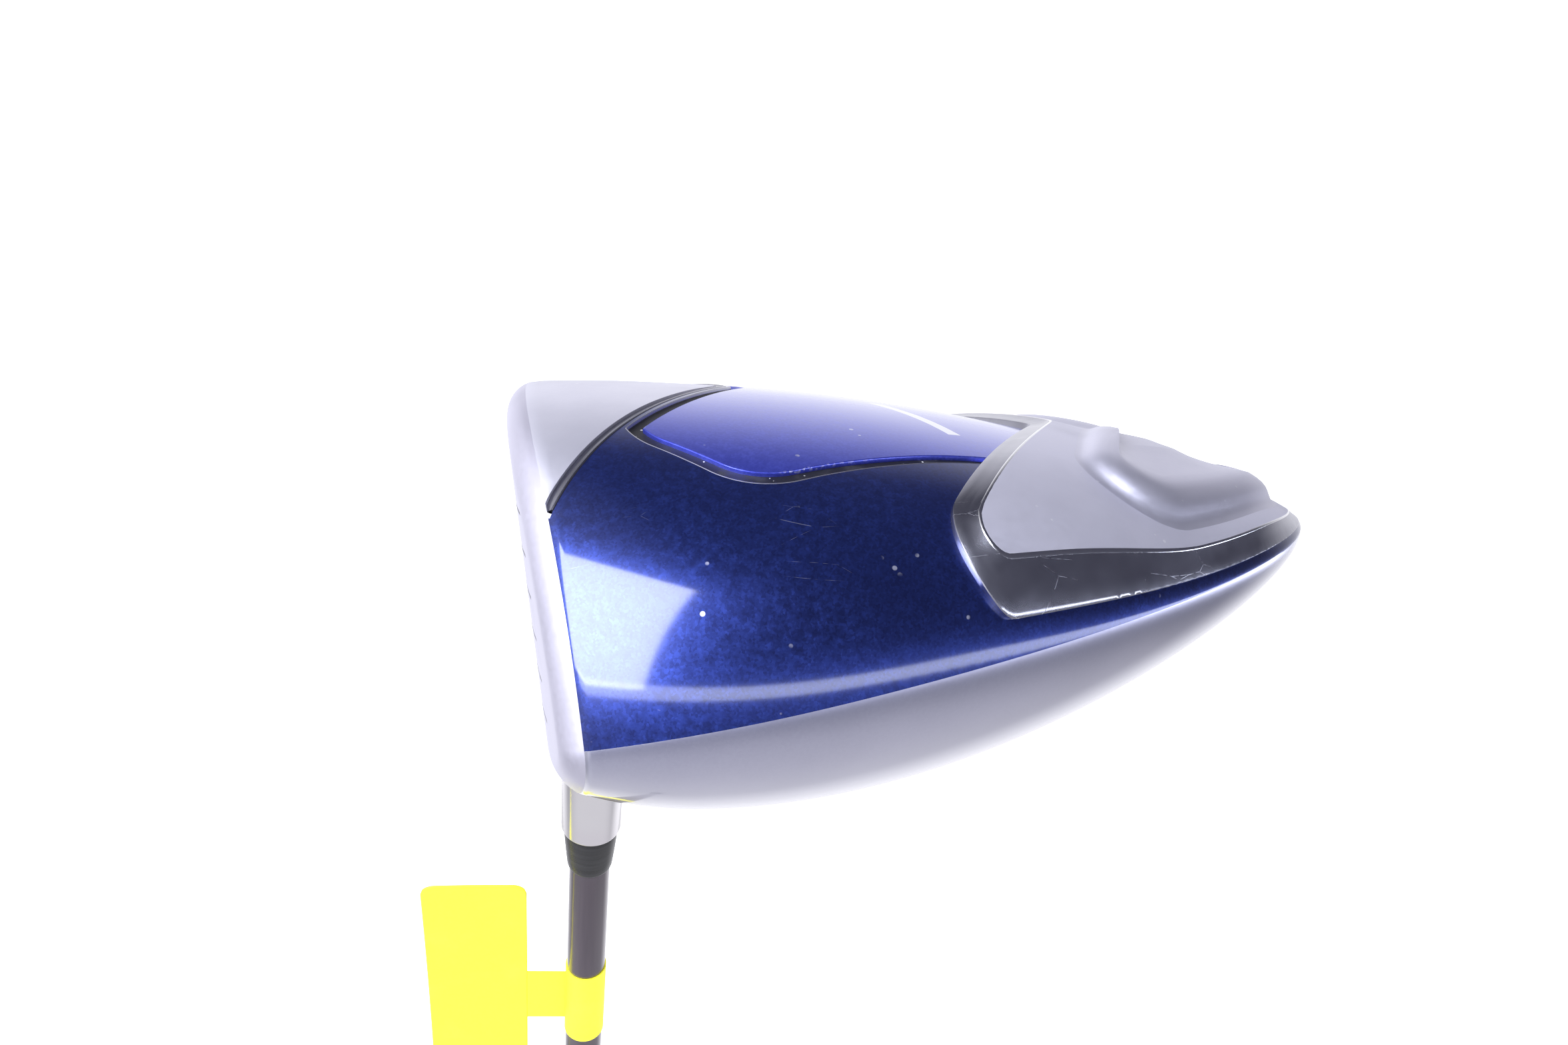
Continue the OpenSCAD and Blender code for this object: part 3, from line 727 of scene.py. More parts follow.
def lacquered(name, deep, bright, flake, rough, extra=None):
    """Metallic paint: a deep colour, fine flakes and a clear coat with scratches and dust, lightened towards
    grazing angles as a painted sheen.
    """

    def looks():
        spark = Node.make("ShaderNodeSeparateColor", {0: cells(3600, out="Color")})
        cloudy = 0.35 + 0.5 * cloud(900, 3).rise(0.3, 0.75) * cloud(70, 2).rise(0.2, 0.7)
        facing = Node.make("ShaderNodeLayerWeight", {"Blend": 0.4}, out="Facing")
        base = mixed(flake * spark * cloudy + 0.3 * cloudy, deep, bright)
        # Painted sheen: the colour turns towards the bright tone where the surface is seen at a grazing
        # angle.
        base = mixed(0.35 * facing, base, bright)
        lines = hairlines(3.0, 0.6)
        base = mixed(0.3 * lines + 0.75 * specks(460, 0.62, 7.0), base, (0.66, 0.68, 0.85))
        if extra:
            base = extra(base)
        return {"Base Color": base, "Metallic": 0.85, "Roughness": rough + 0.12 * cloudy,
                "Coat Weight": 1.0 - 0.4 * lines, "Coat Roughness": 0.09,
                "Normal": bumped(0.4 * spark + lines, 0.12, 0.00002)}

    return finish_of(name, looks)


def dashed_and_worn(base):
    """Adds the light dash, and paint rubbed off along the toe side's edge."""
    x, y, _ = address()
    start, end, half_width = (-7.8, 51.3), (-26.4, 58.6), 0.85
    way = (end[0] - start[0], end[1] - start[1])
    length = math.hypot(*way)
    way = (way[0] / length, way[1] / length)
    along = (x - start[0]) * way[0] + (y - start[1]) * way[1]
    aside = Node.math("ABSOLUTE", (y - start[1]) * way[0] - (x - start[0]) * way[1])
    ends = along.rise(-0.1, 0.1) * (1 - along.rise(length - 0.1, length + 0.1))
    dash = (1 - aside.rise(half_width, half_width + 0.15)) * ends
    from_edge = (x + PANEL_WIDE_X) * 0.943 - (y - PANEL_WIDE_Y) * 0.331
    front = 1 - (y - 44).rise(0, 20)
    rubbed = (1 - from_edge.rise(0.0, 0.45)) * front * cloud(2200, 2, seed=9.0).rise(0.5, 0.62)
    return mixed(0.7 * rubbed, mixed(0.95 * dash, base, (0.85, 0.86, 0.93)), (0.8, 0.81, 0.92))


panel_side = [(0.0, -0.9), (0.0, -0.16), (0.05, -0.05), (0.16, 0.0)]
panel_rows = looped([lifted(panel_ring(-inset), h) for inset, h in panel_side])
royal = lacquered("royal blue lacquer", (0.035, 0.045, 0.42), (0.12, 0.16, 0.85), 0.4, 0.3,
                  dashed_and_worn)
centre_panel = patch("centre_panel", on_sole(panel_ring(-0.16)), 0.7)
centre_panel.data.materials.append(royal)
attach(centre_panel, "root")
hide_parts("centre_panel")
panel_edge = lofted("panel_edge", on_club(panel_rows), 40)
panel_edge.data.materials.append(royal)
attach(panel_edge, "root")

# ---- Groove ----------------------------------------------------------------
# A black filled channel round the centre panel. Dust sits in it, and its outer side has a fine
# light lip where the recess was milled through the paint.


def dusty_black():
    """Black filler with grey dust and crumbs caught in it."""
    crumbs = specks(900, 0.5, 11.0)
    film = cloud(300, 4, seed=3.0).rise(0.45, 0.8)
    base = mixed(0.5 * film, (0.008, 0.008, 0.011), (0.05, 0.05, 0.06))
    return {"Base Color": mixed(0.8 * crumbs, base, (0.55, 0.55, 0.58)), "Roughness": 0.45 + 0.3 * film,
            "Normal": bumped(film + crumbs, 0.5, 0.0001)}


def ring_rows(profile, ring, rise=None):
    """Closed rows on the sole for a profile of (offset, height) along a traced ring."""
    lines = [(ring(d), h) for d, h in profile]
    return looped([lifted(line, rise(line, h) if rise else np.full(len(line), h)) for line, h in lines])


groove = lofted("groove", on_club(ring_rows(
    [(GROOVE_W - 0.22, -0.3), (GROOVE_W - 0.35, -0.55), (GROOVE_W - 0.6, -0.62), (0.3, -0.62), (0.0, -0.6)],
    panel_ring)), 40)
groove.data.materials.append(finish_of("dusty black filler", dusty_black))
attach(groove, "root")
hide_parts("groove_trim")
groove_lip = lofted("groove_lip", on_club(ring_rows(
    [(GROOVE_W + 0.02, -0.6), (GROOVE_W + 0.02, 0.0), (GROOVE_W - 0.05, 0.03), (GROOVE_W - 0.12, 0.0),
     (GROOVE_W - 0.24, -0.32), (GROOVE_W - 0.24, -0.7)], panel_ring)), 25)
groove_lip.data.materials.append(satin("milled groove lip", (0.6, 0.6, 0.68), 0.3, 2000, 0.2))
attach(groove_lip, "root")

# ---- Sole shell ------------------------------------------------------------
# The rest of the sole and the skirt up to the crown's seam: one thin shell, painted a deep
# metallic navy under a hard clear coat.

sole_front = to_lead(on_sole(front_edge))
sole_outline = np.vstack([
    straight((FACE_T, SEAM_TOE), sole_front[0], 0.5), sole_front[:-1],
    straight(sole_front[-1], (FACE_T, SEAM_HEEL), 0.5),
    straight((FACE_T, SEAM_HEEL), (HEAD_L - 0.02, SEAM_HEEL), 0.8),
    straight((HEAD_L - 0.02, SEAM_HEEL), (HEAD_L - 0.02, SEAM_TOE), 1.0),
    straight((HEAD_L - 0.02, SEAM_TOE), (FACE_T, SEAM_TOE), 0.8)])
navy = lacquered("navy metallic lacquer", (0.006, 0.01, 0.06), (0.03, 0.06, 0.34), 0.5, 0.27)
sole = patch("sole", sole_outline, 1.0, [on_sole(panel_ring(GROOVE_W + 0.01)), on_sole(plate_ring(0.05))],
             gap=1.4)
sole.data.materials.append(navy)
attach(sole, "root")
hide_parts("sole_shell")

# ---- Rear plate ------------------------------------------------------------
# A cast plate over the rear of the sole. Its wall is thin and dark, a wide dark chrome bevel
# runs round it, and its raised top is blasted to a satin.

PLATE_H, BORDER_H, BORDER_W = 2.2, 1.0, 2.6
bevel_profile = [(0.0, -0.6), (0.0, BORDER_H - 0.2), (0.06, BORDER_H - 0.08), (0.18, BORDER_H),
                 (0.9, BORDER_H + 0.28), (1.7, BORDER_H + 0.62), (BORDER_W - 0.12, PLATE_H - 0.12)]
plate_bevel = lofted("plate_bevel", on_club(ring_rows(bevel_profile, plate_ring, proud)), 28)
plate_bevel.data.materials.append(polished_dark("dark chrome bevel", (0.5, 0.5, 0.57), 0.2, 0.18))
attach(plate_bevel, "root")
edge_line = lofted("plate_edge_line", on_club(ring_rows(
    [(BORDER_W - 0.12, PLATE_H - 0.12), (BORDER_W - 0.02, PLATE_H - 0.01), (BORDER_W + 0.1, PLATE_H + 0.02),
     (BORDER_W + 0.22, PLATE_H)], plate_ring, proud)), 60)
edge_line.data.materials.append(satin("bright cut edge", (0.88, 0.88, 0.92), 0.12, 2600, 0.05))
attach(edge_line, "root")

# ---- Weight pod ------------------------------------------------------------
# A raised housing at the back of the plate that holds the weight. It is cast with the plate,
# has a rounded rim and a hollow flank inside it, and its top falls away towards the tail.

POD_APEX, POD_LEDGE, POD_CORNER = 84.0, 3.3, 8.0
CREST_APEX, CREST_INSET, CREST_REAR, CREST_CORNER = 88.0, 22.0, 103.5, 3.0
CREST_Z, CREST_FALL, CREST_SIDE, CREST_FLAT = 3.4, 0.02, 0.12, 12.0
POD_REAR, POD_RAYS = 107.5, 520
POD_MID = np.array([0.0, 92.0])
RIM = [(0.0, 0.0), (0.5, 0.06), (0.95, 0.3), (1.35, 0.75), (1.75, 1.25), (2.2, 1.7), (2.8, 2.05), (3.6, 2.3),
       (4.6, 2.45)]


def crest_z(x, y):
    """The height of the pod's top, crowned a little and falling away towards the tail."""
    return (CREST_Z + CREST_FALL * np.clip(y - POD_APEX, 0, None) ** 2
            + CREST_SIDE * np.clip(np.abs(x) - CREST_FLAT, 0, None))


def rounded_trace(outside, radius, angles=None):
    """A footprint's outline with its corners rounded, on rays from the pod's middle."""
    _, sharp_line = spread(POD_MID, outside, 600)
    clear = distance_to(evened(sharp_line, 0.15))
    core_line = evened(traced(POD_MID, ring_angles, lambda p: outside(p) | (clear(p) < radius)), 0.15)
    past, away = beyond(core_line, POD_MID), distance_to(core_line)

    def rounded_off(p):
        return past(p) & (away(p) > radius)

    if angles is None:
        angles, _ = spread(POD_MID, rounded_off, POD_RAYS)
    return angles, rounded_off


def off_pod(p):
    return (past_plate(p) | (from_plate(p) < POD_LEDGE) | (p[:, 1] > POD_REAR)
            | (p[:, 1] < swept(POD_APEX, PLATE_SWEEP, p[:, 0])))


def off_crest(p):
    return ((np.abs(p[:, 0]) > plan(p[:, 1], FACE_TOE_W, TOE_W) - CREST_INSET) | (p[:, 1] > CREST_REAR)
            | (p[:, 1] < swept(CREST_APEX, PLATE_SWEEP, p[:, 0])))


pod_angles, past_pod = rounded_trace(off_pod, POD_CORNER)
pod_dense = evened(traced(POD_MID, np.linspace(0, 2 * math.pi, 2161), past_pod), 0.1)
from_pod = distance_to(pod_dense)
_, past_crest = rounded_trace(off_crest, CREST_CORNER, pod_angles)


def pod_ring(inset):
    return traced(POD_MID, pod_angles, lambda p: past_pod(p) | (from_pod(p) < inset))


def crest_ring(scale):
    xy = POD_MID + scale * (traced(POD_MID, pod_angles, past_crest) - POD_MID)
    return np.column_stack([xy, crest_z(xy[:, 0], xy[:, 1])])


pod_rows = []
for inset, rise in RIM:
    ring = pod_ring(inset)
    share = 0.35 + 0.65 * np.clip(np.abs(ring[:, 0]) / 20, 0, 1)
    pod_rows.append(lifted(ring, proud(ring, PLATE_H) + rise * share))
rim_end, crest = pod_rows[-1], crest_ring(1.0)
for t in (0.2, 0.4, 0.6, 0.8, 0.94, 0.985):
    pod_rows.append(rim_end + t * (crest - rim_end))
pod_rows.extend(crest_ring(k) for k in (1.0, 0.985, 0.94, 0.8, 0.6, 0.4, 0.2, 0.0))
plate_top = patch("plate_top", on_sole(plate_ring(BORDER_W + 0.2)), 2.0, [on_sole(pod_ring(0.0))],
                  lambda ring: proud(ring, PLATE_H))
plate_top.data.materials.append(satin("satin plate", (0.72, 0.71, 0.82), 0.46, 1300, metallic=0.85))
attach(plate_top, "root")
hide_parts("rear_plate")
pod = lofted("weight_pod", on_club(looped(pod_rows)), 40)
pod.data.materials.append(satin("satin pod", (0.66, 0.65, 0.76), 0.36, 1300, metallic=0.88))
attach(pod, "root")
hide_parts("weight_pod")

# The tungsten puck lies in a pocket under the pod's top.
puck_side = [(0.0, 0.9), (0.6, 0.9), (0.6, 2.3), (0.0, 2.3)]
puck_rows = looped([crest_ring(scale) + (0, 0, under) for scale, under in puck_side])
puck = lofted("pod_weight", on_club(puck_rows), 30, closed=True)
puck.data.materials.append(satin("sintered tungsten", (0.35, 0.35, 0.38), 0.4, 500, 0.2))
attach(puck, "root")
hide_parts("pod_weight")

# ---- Crown -----------------------------------------------------------------
# A thin crown bonded on at the seam, painted a pale pearl silver with a high gloss.


def pearl():
    spark = Node.make("ShaderNodeSeparateColor", {0: cells(3200, out="Color")})
    cloudy = cloud(40, 3, seed=8.0).rise(0.3, 0.7)
    facing = Node.make("ShaderNodeLayerWeight", {"Blend": 0.5}, out="Facing")
    base = mixed(0.12 * spark, (0.25, 0.25, 0.34), (0.4, 0.4, 0.5))
    # Painted reflection: the crown turns pale towards grazing angles, standing in for the white floor it
    # reflects there; the cloud adds a random lighter tone.
    base = mixed(0.6 * facing + 0.1 * cloudy, base, (0.8, 0.79, 0.93))
    return {"Base Color": base, "Metallic": 0.85, "Roughness": 0.3, "Coat Weight": 1.0,
            "Coat Roughness": 0.02, "Normal": bumped(cloudy, 0.05, 0.00002)}


crown_u = np.concatenate([np.linspace(FACE_T, 104, 110), HEAD_L - 12 * np.linspace(1, 0.0005, 40)[1:] ** 2])
crown_v = 90 - 90 * np.cos(np.radians(np.linspace(0, 180, 181)))
crown = lofted("crown", on_club([skin(crown_u, v) for v in crown_v]), 50)
crown.data.materials.append(finish_of("pearl crown lacquer", pearl))
wall = crown.modifiers.new("wall", "SOLIDIFY")
wall.thickness = 0.0008
wall.offset = -1
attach(crown, "root")
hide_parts("crown_shell")

# ---- Hosel neck ------------------------------------------------------------
# The neck grows out of the heel, swells a little and runs parallel to its mouth. It is plated
# a pale polished chrome, and the steel tube inside goes on through the head to the sole.

HOSEL_L, HOSEL_D, FLARE_R, TUBE_D = 112.3, 12.4, 1.4, 10.8
NECK_FOOT, NECK_SWELL, NECK_END = 20.0, 46.0, 80.0
HOSEL_TOP = CLUB_L - HOSEL_L


def spun(name, profile, steps=96, sharp=32):
    """Turns a closed profile of radius and height, in millimetres, round the shaft's axis."""
    bm = bmesh.new()
    verts = [bm.verts.new((r / 1000, 0, z / 1000)) for r, z in profile]
    edges = [bm.edges.new((verts[k - 1], verts[k])) for k in range(len(verts))]
    bmesh.ops.spin(bm, geom=verts + edges, cent=(0, 0, 0), axis=(0, 0, 1), angle=2 * math.pi,
                   steps=steps, use_merge=True)
    bmesh.ops.remove_doubles(bm, verts=bm.verts, dist=1e-7)
    bmesh.ops.recalc_face_normals(bm, faces=bm.faces)
    return finished(name, bm, sharp)


def eased(t):
    return (1 - np.cos(math.pi * np.clip(t, 0, 1))) / 2


def neck_r(s):
    """The neck's radius at a distance s from the ground along the shaft."""
    root_r = TUBE_D / 2 + 0.3
    swell = root_r + (HOSEL_D / 2 + FLARE_R - root_r) * eased((s - NECK_FOOT) / (NECK_SWELL - NECK_FOOT))
    settle = HOSEL_D / 2 + FLARE_R * (1 - eased((s - NECK_SWELL) / (NECK_END - NECK_SWELL)))
    return np.where(s < NECK_SWELL, swell, settle)


def chrome():
    haze = cloud(70, 3, seed=5.0)
    lines = hairlines(4.0, 0.62)
    base = mixed(haze.rise(0.35, 0.7) * 0.4, (0.9, 0.88, 0.9), (0.82, 0.76, 0.82))
    return {"Base Color": base, "Metallic": 1.0, "Roughness": 0.1 + 0.08 * haze + 0.2 * lines,
            "Normal": bumped(lines, 0.15, 0.00002)}


s = np.linspace(NECK_FOOT, NECK_END, 60)
neck_outer = [(float(r), CLUB_L - float(k)) for r, k in zip(neck_r(s), s)]
mouth = [(HOSEL_D / 2 - inward, HOSEL_TOP + up)
         for inward, up in ((0.0, 0.7), (0.12, 0.3), (0.35, 0.08), (0.7, 0.0))]
neck = spun("hosel", [(TUBE_D / 2, CLUB_L - NECK_FOOT), *neck_outer, *mouth, (TUBE_D / 2, HOSEL_TOP)], 128)
neck.data.materials.append(finish_of("pale chrome", chrome))
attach(neck, "root")
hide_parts("hosel_neck")

# ---- Ferrule ---------------------------------------------------------------
# A turned black plastic collar that covers the step from the hosel's mouth to the shaft.

TIP_D, BUTT_D, SHAFT_T = 8.6, 15.2, 1.3
FERRULE_L, FERRULE_D = 12.0, 11.2
ferrule_side = [(FERRULE_D / 2 - inward, h) for inward, h in
                ((0.15, 0.0), (0.0, 0.2), (0.02, 1.6), (0.2, 4.2), (0.36, 6.4), (0.58, 9.0))]
ferrule_side += [(TIP_D / 2 + 0.5, 11.4), (TIP_D / 2 + 0.4, 11.8), (TIP_D / 2 + 0.2, FERRULE_L)]


def turned_plastic():
    rings = cloud(500, 2, (0.05, 0.05, 1))
    return {"Base Color": mixed(rings.rise(0.4, 0.7), (0.006, 0.006, 0.007), (0.02, 0.02, 0.022)),
            "Roughness": 0.2 + 0.15 * rings, "Normal": bumped(rings, 0.15, 0.00003)}


ferrule = spun("ferrule", [(TIP_D / 2 + 0.05, HOSEL_TOP), *[(r, HOSEL_TOP - h) for r, h in ferrule_side],
                           (TIP_D / 2 + 0.05, HOSEL_TOP - FERRULE_L)])
ferrule.data.materials.append(finish_of("turned black plastic", turned_plastic))
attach(ferrule, "root")
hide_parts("ferrule")

# ---- Shaft -----------------------------------------------------------------
# A graphite tube that tapers from the butt to a parallel tip. It is lacquered gunmetal with a
# faint purple-brown tint, and goes through the head to the sole.

CAP_T, TIP_L, EXIT_Z = 4.5, 190.0, 2.4
TIP_START = CLUB_L - TIP_L
SHAFT_END = CLUB_L - EXIT_Z / math.sin(LIE) - TIP_D / 2 / math.tan(LIE)


def shaft_r(z):
    """The shaft's radius at a height above the butt."""
    taper = np.clip((TIP_START - z) / (TIP_START - CAP_T), 0, 1)
    return TIP_D / 2 + (BUTT_D - TIP_D) / 2 * taper


def gunmetal():
    weave = cloud(240, 3, (1, 1, 0.06))
    bands = cloud(30, 2, (0.2, 0.2, 1), 2.0)
    facing = Node.make("ShaderNodeLayerWeight", {"Blend": 0.4}, out="Facing")
    base = mixed(weave.rise(0.3, 0.7) * 0.6, (0.07, 0.055, 0.07), (0.16, 0.125, 0.15))
    # Painted sheen: the colour shifts to a lighter purple where the shaft is seen at a grazing angle.
    base = mixed(0.4 * facing, base, (0.14, 0.1, 0.15))
    return {"Base Color": base, "Metallic": 0.8, "Roughness": 0.26 + 0.12 * bands, "Coat Weight": 1.0,
            "Coat Roughness": 0.06, "Normal": bumped(weave, 0.08, 0.00003)}


shaft_z = np.linspace(CAP_T, TIP_START, 60)
shaft_outer = [(float(shaft_r(z)), float(z)) for z in shaft_z] + [(TIP_D / 2, SHAFT_END)]
shaft_inner = [(TIP_D / 2 - SHAFT_T, SHAFT_END), (TIP_D / 2 - SHAFT_T, TIP_START),
               (BUTT_D / 2 - SHAFT_T, CAP_T)]
shaft = spun("shaft", shaft_outer + shaft_inner, 96)
shaft.data.materials.append(finish_of("gunmetal lacquer", gunmetal))
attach(shaft, "root")
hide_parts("shaft")

# ---- Grip ------------------------------------------------------------------
# A moulded rubber sleeve slid over tape, with shallow rings moulded round it, and a harder cap
# on its butt with a vent hole through the middle.

GRIP_L, GRIP_BUTT_D, GRIP_MOUTH_D, VENT_D = 270.0, 26.8, 17.4, 3.2
TAPE_T = 0.3
RING_PITCH, RING_DEPTH = 5.0, 0.3


def grip_rubber():
    pores = cells(1500)
    film = cloud(80, 4, seed=1.0)
    return {"Base Color": mixed(film.rise(0.35, 0.75) * 0.5, (0.014, 0.014, 0.015), (0.035, 0.035, 0.038)),
            "Roughness": 0.62 + 0.2 * film, "Normal": bumped(pores, 0.4, 0.00015)}


grip_z = np.linspace(CAP_T, GRIP_L - 1.5, 620)
outer_r = np.interp(grip_z, [CAP_T, CAP_T + 18, CAP_T + 70, GRIP_L - 12, GRIP_L - 1.5],
                    [GRIP_BUTT_D / 2, GRIP_BUTT_D / 2 - 0.2, GRIP_BUTT_D / 2 - 2.2, GRIP_MOUTH_D / 2 + 0.2,
                     GRIP_MOUTH_D / 2])
ringed = ((grip_z > CAP_T + 14) & (grip_z < GRIP_L - 16)).astype(float)
dip = np.clip(1 - np.abs((grip_z % RING_PITCH) - RING_PITCH / 2) / 0.6, 0, 1)
outer_r = outer_r - RING_DEPTH * ringed * dip
grip_profile = [(float(r), float(z)) for r, z in zip(outer_r, grip_z)]
grip_profile += [(GRIP_MOUTH_D / 2 - 0.25, GRIP_L - 0.4), (GRIP_MOUTH_D / 2 - 0.7, GRIP_L),
                 (float(shaft_r(GRIP_L)) + 0.02, GRIP_L), (float(shaft_r(CAP_T)) + TAPE_T, CAP_T)]
grip = spun("grip_sleeve", grip_profile, 96, 50)
rubber = finish_of("moulded rubber", grip_rubber)
grip.data.materials.append(rubber)
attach(grip, "root")
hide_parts("grip_sleeve")

cap_side = [(-4, 0.0), (-2.4, 0.3), (-1.2, 0.8), (-0.3, 1.5), (0.2, 2.3), (0.3, 2.7), (0.3, 3.3),
            (0.1, 3.9), (0.0, CAP_T)]
cap_profile = [(VENT_D / 2, 0.25), (VENT_D / 2 + 0.25, 0.0),
               *[(GRIP_BUTT_D / 2 + out, h) for out, h in cap_side], (VENT_D / 2, CAP_T)]
cap = spun("grip_cap", cap_profile, 96, 40)
cap.data.materials.append(rubber)
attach(cap, "root")
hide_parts("grip_cap")

# ---- Shop label ------------------------------------------------------------
# A blank yellow sticker: its strap is folded round the shaft and stuck to itself, and its flag
# stands out on the face side, curling a little.

LABEL_Z, WRAP_W, LABEL_T = HOSEL_TOP - 49.0 - 25.0, 25.0, 0.3
NECK_W, NECK_L, FLAG_W, FLAG_L, FLAG_LEAD, FLAG_R = 18.0, 9.0, 22.5, 80.0, 30.0, 3.0
label_mid = LABEL_Z + WRAP_W / 2


def sticker():
    fibre = cloud(1400, 3)
    grime = cloud(70, 4, seed=4.0).rise(0.5, 0.8)
    return {"Base Color": mixed(0.18 * grime, (0.88, 0.83, 0.02), (0.7, 0.62, 0.08)),
            "Roughness": 0.5 + 0.15 * fibre, "Normal": bumped(fibre, 0.15, 0.00003)}


label_look = finish_of("matt yellow sticker", sticker)
strap = spun("label_strap", [(TIP_D / 2 + 0.01, LABEL_Z), (TIP_D / 2 + LABEL_T, LABEL_Z),
                             (TIP_D / 2 + LABEL_T, LABEL_Z + WRAP_W), (TIP_D / 2 + 0.01, LABEL_Z + WRAP_W)])
strap.data.materials.append(label_look)
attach(strap, "root")
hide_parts("stock_label")


def flag_sheet(name, start, width, low_z, high_z, radius, curl):
    """A sheet that stands out from the shaft, with rounded corners and a slight curl."""
    w = np.concatenate([np.linspace(0, radius, 8), np.linspace(radius, width - radius, 14)[1:-1],
                        np.linspace(width - radius, width, 8)])
    edge = np.minimum(w, width - w)
    trim = radius - np.sqrt(radius**2 - np.clip(radius - edge, 0, radius) ** 2)
    rows = []
    for out, cut in zip(w, trim):
        z = np.linspace(low_z + cut, high_z - cut, 60)
        k = (z - label_mid) / 40
        x = curl * (k * k + 0.5 * (out / FLAG_W) ** 2 * k)
        rows.append(np.stack([x, np.full(60, -(start + out)), z], -1) / 1000)
    made = lofted(name, rows, 40)
    made.data.materials.append(label_look)
    body = made.modifiers.new("paper", "SOLIDIFY")
    body.thickness = LABEL_T / 1000
    body.offset = 0
    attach(made, "root")


flag_sheet("label_tab", TIP_D / 2, NECK_L + 2, label_mid - NECK_W / 2, label_mid + NECK_W / 2, 0.5, 0.0)
flag_sheet("label_flag", TIP_D / 2 + NECK_L, FLAG_W, label_mid + WRAP_W / 2 + FLAG_LEAD - FLAG_L,
           label_mid + WRAP_W / 2 + FLAG_LEAD, FLAG_R, 1.2)

# ---- Pieces inside ---------------------------------------------------------
# The tube, the bond, the plug and weight in the shaft's tip, the glue pad and the grip
# tape keep the CAD's shape, with a finish of their own.


def worked(tone, other, metallic, rough, grain):
    def looks():
        fine = cloud(grain, 3)
        return {"Base Color": mixed(fine.rise(0.3, 0.7), tone, other), "Metallic": metallic,
                "Roughness": rough + 0.15 * fine, "Normal": bumped(fine, 0.25, 0.00004)}
    return looks


INNER = {
    "hosel_tube": worked((0.62, 0.62, 0.66), (0.78, 0.78, 0.8), 1.0, 0.2, 700),
    "epoxy_bond": worked((0.32, 0.22, 0.08), (0.45, 0.34, 0.14), 0.0, 0.4, 300),
    "shaft_tip_plug": worked((0.03, 0.03, 0.035), (0.07, 0.07, 0.08), 0.0, 0.5, 600),
    "tip_weight": worked((0.35, 0.36, 0.4), (0.5, 0.5, 0.55), 1.0, 0.35, 500),
    "damping_pad": worked((0.5, 0.42, 0.2), (0.62, 0.54, 0.3), 0.0, 0.35, 150),
    "grip_tape": worked((0.7, 0.64, 0.5), (0.8, 0.75, 0.62), 0.0, 0.7, 900),
}
for name, looks in INNER.items():
    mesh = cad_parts[name].data
    mesh.materials.clear()
    mesh.materials.append(finish_of(name + " finish", looks))

# ---- Floor, light and camera -----------------------------------------------
# The club stands on its butt over a plain white floor, lit by large soft panels.


def lit_floor():
    return {"Base Color": (0.9, 0.9, 0.91), "Roughness": 0.8, "Emission Color": (0.97, 0.98, 1.0),
            "Emission Strength": 0.85}


bm = bmesh.new()
bmesh.ops.create_circle(bm, cap_ends=True, segments=96, radius=14.0)
bmesh.ops.translate(bm, verts=bm.verts, vec=(0, 0, -0.001))
floor = finished("floor", bm)
floor.data.materials.append(finish_of("plain white floor", lit_floor))
floor.visible_glossy = False

EYE, LOOK = np.array([-213.688, 15.191, -6.584]), np.array([-4.49, 39.84, 18.72])
ROLL = math.radians(3.10)
LENS = 34.25


def turned_onto_club(way):
    """A direction of the address frame, turned onto the shaft."""
    return (on_club(np.asarray(way, float)) - on_club([0, 0, 0])) * 1000


ahead = (LOOK - EYE) / np.linalg.norm(LOOK - EYE)
world = bpy.data.worlds.new("studio")
world.use_nodes = True
Node.tree = world.node_tree
sky = Node.make("ShaderNodeTexCoord", {}, out="Generated")


def towards(way):
    """How far a ray points along a direction of the address frame."""
    return Node.make("ShaderNodeVectorMath", {0: sky, 1: tuple(turned_onto_club(way))},
                     {"operation": "DOT_PRODUCT"}, out=1)


far_wall = towards(ahead).rise(0.35, 1.0)
below_crown = 0.6 * towards((0, 0, 1)).rise(0.2, 0.9)
before_face = 0.9 * towards((0, -1, -0.2)).rise(0.4, 0.95)
bright = Node.math("MAXIMUM", Node.math("MAXIMUM", far_wall, below_crown), before_face)
room = mixed(bright, (0.05, 0.05, 0.075), (1.1, 1.1, 1.15))
glossy = Node.make("ShaderNodeLightPath", {}, out="Is Glossy Ray")
back = world.node_tree.nodes["Background"]
world.node_tree.links.new(mixed(glossy, (0.93, 0.94, 1.0), room).socket, back.inputs["Color"])
back.inputs["Strength"].default_value = 1.0
bpy.context.scene.world = world


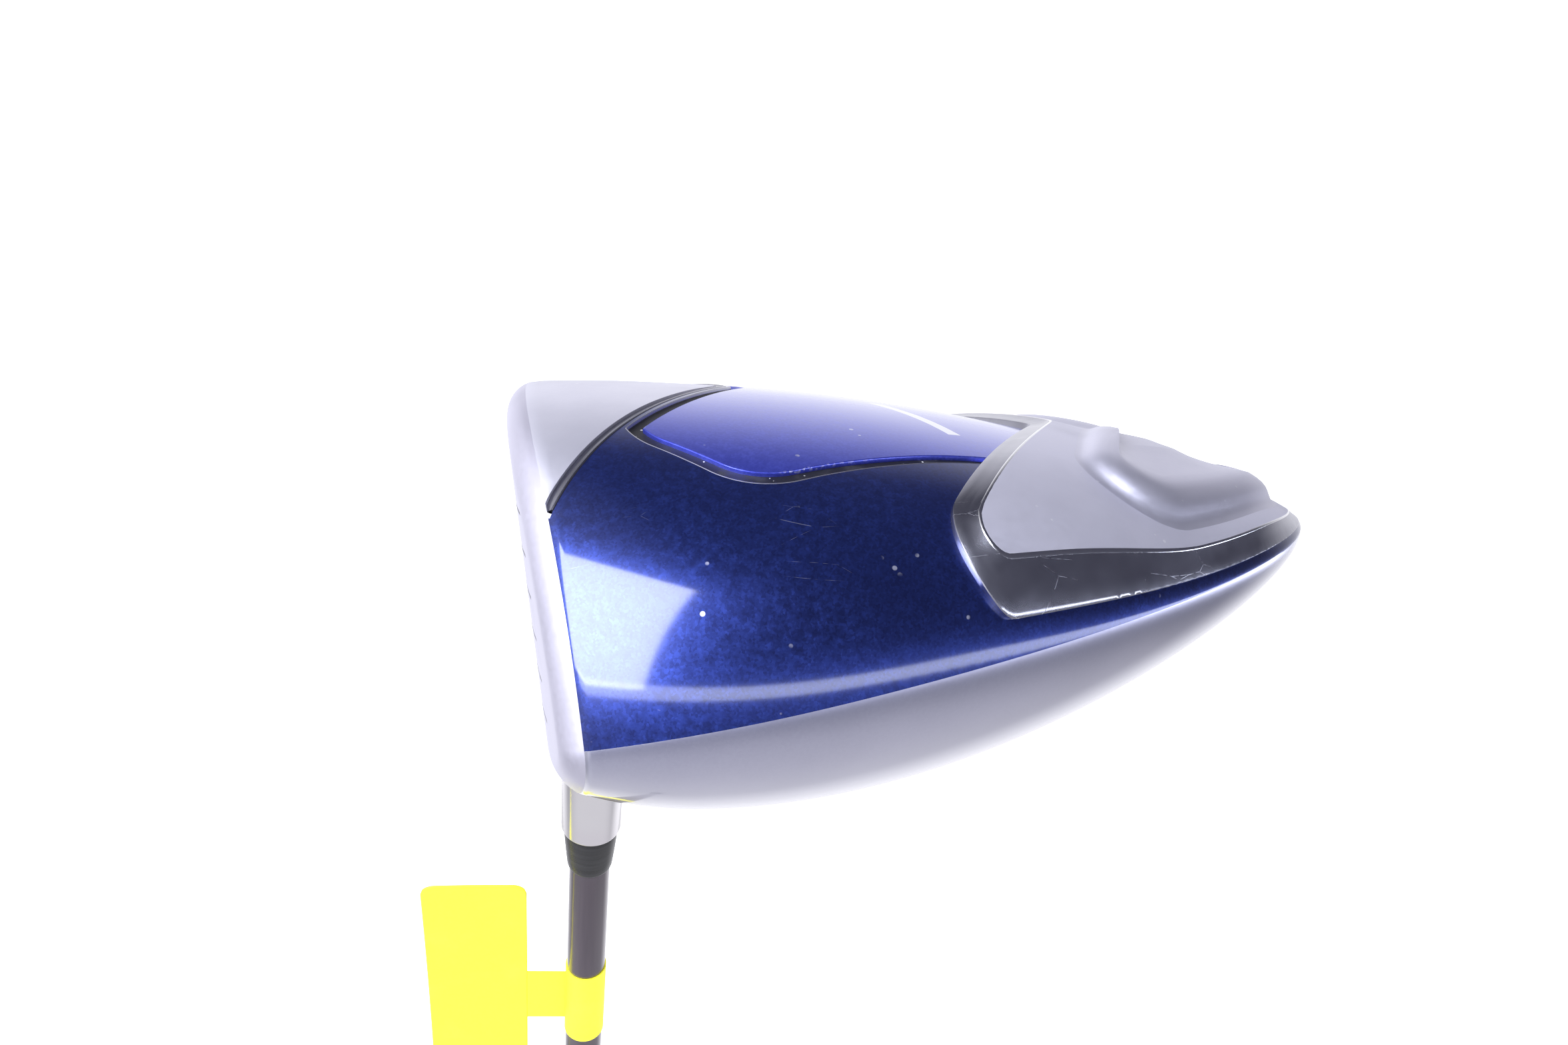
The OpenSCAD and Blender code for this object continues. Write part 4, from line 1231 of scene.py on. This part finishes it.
def soft_panel(name, spot, target, width, height, power, tint=(1, 1, 1)):
    """A rectangular light at a spot of the address frame, upright there and aimed at another."""
    data = bpy.data.lights.new(name, "AREA")
    data.shape = "RECTANGLE"
    data.size, data.size_y = width, height
    data.energy = power
    data.color = tint
    back_way = np.subtract(spot, target) / np.linalg.norm(np.subtract(spot, target))
    side = np.cross([0, 0, -1], back_way)
    side /= np.linalg.norm(side)
    axes = [Vector(turned_onto_club(k)) for k in (side, np.cross(back_way, side), back_way)]
    light = bpy.data.objects.new(name, data)
    light.matrix_world = Matrix.Translation(on_club(spot)) @ Matrix(axes).transposed().to_4x4()
    bpy.context.collection.objects.link(light)
    return light


soft_panel("window", (-475, -465, -215), (-54, 16, 25), 0.46, 0.66, 15.0, (0.86, 0.9, 1.0))
overhead = soft_panel("overhead", (150, 40, -1100), (0, 50, 10), 1.2, 1.2, 9.0)
overhead.visible_glossy = False

# A long, low strip of light beyond the toe, seen only in reflections.
bm = bmesh.new()
bmesh.ops.create_grid(bm, x_segments=48, y_segments=1, size=1)
for vert in bm.verts:
    swing = math.radians(150 - 90 * vert.co.x)
    reach = 900
    vert.co = on_club([-45 + reach * math.cos(swing), 40 + reach * math.sin(swing), 115 + 42 * vert.co.y])
strip = finished("strip_light", bm)
strip.visible_camera = False
strip.visible_diffuse = False
strip.visible_shadow = False


def glowing():
    return {"Base Color": (0, 0, 0), "Emission Color": (0.8, 0.85, 1.0), "Emission Strength": 8.5}


strip.data.materials.append(finish_of("glowing strip", glowing))

right = np.cross(ahead, [0, 0, -1])
right /= np.linalg.norm(right)
above = np.cross(right, ahead)
right, above = (math.cos(ROLL) * right + math.sin(ROLL) * above,
                math.cos(ROLL) * above - math.sin(ROLL) * right)
lens = bpy.data.cameras.new("camera")
lens.lens = LENS
lens.sensor_width = 36
lens.clip_start = 0.01
camera = bpy.data.objects.new("camera", lens)
bpy.context.collection.objects.link(camera)
origin = on_club(EYE)
columns = [on_club(EYE + 1000 * way) - origin for way in (right, above, -ahead)]
turned = [Vector(c).normalized() for c in columns]
camera.matrix_world = Matrix.Translation(origin) @ Matrix(turned).transposed().to_4x4()
bpy.context.scene.camera = camera
bpy.context.scene.view_settings.view_transform = "Standard"
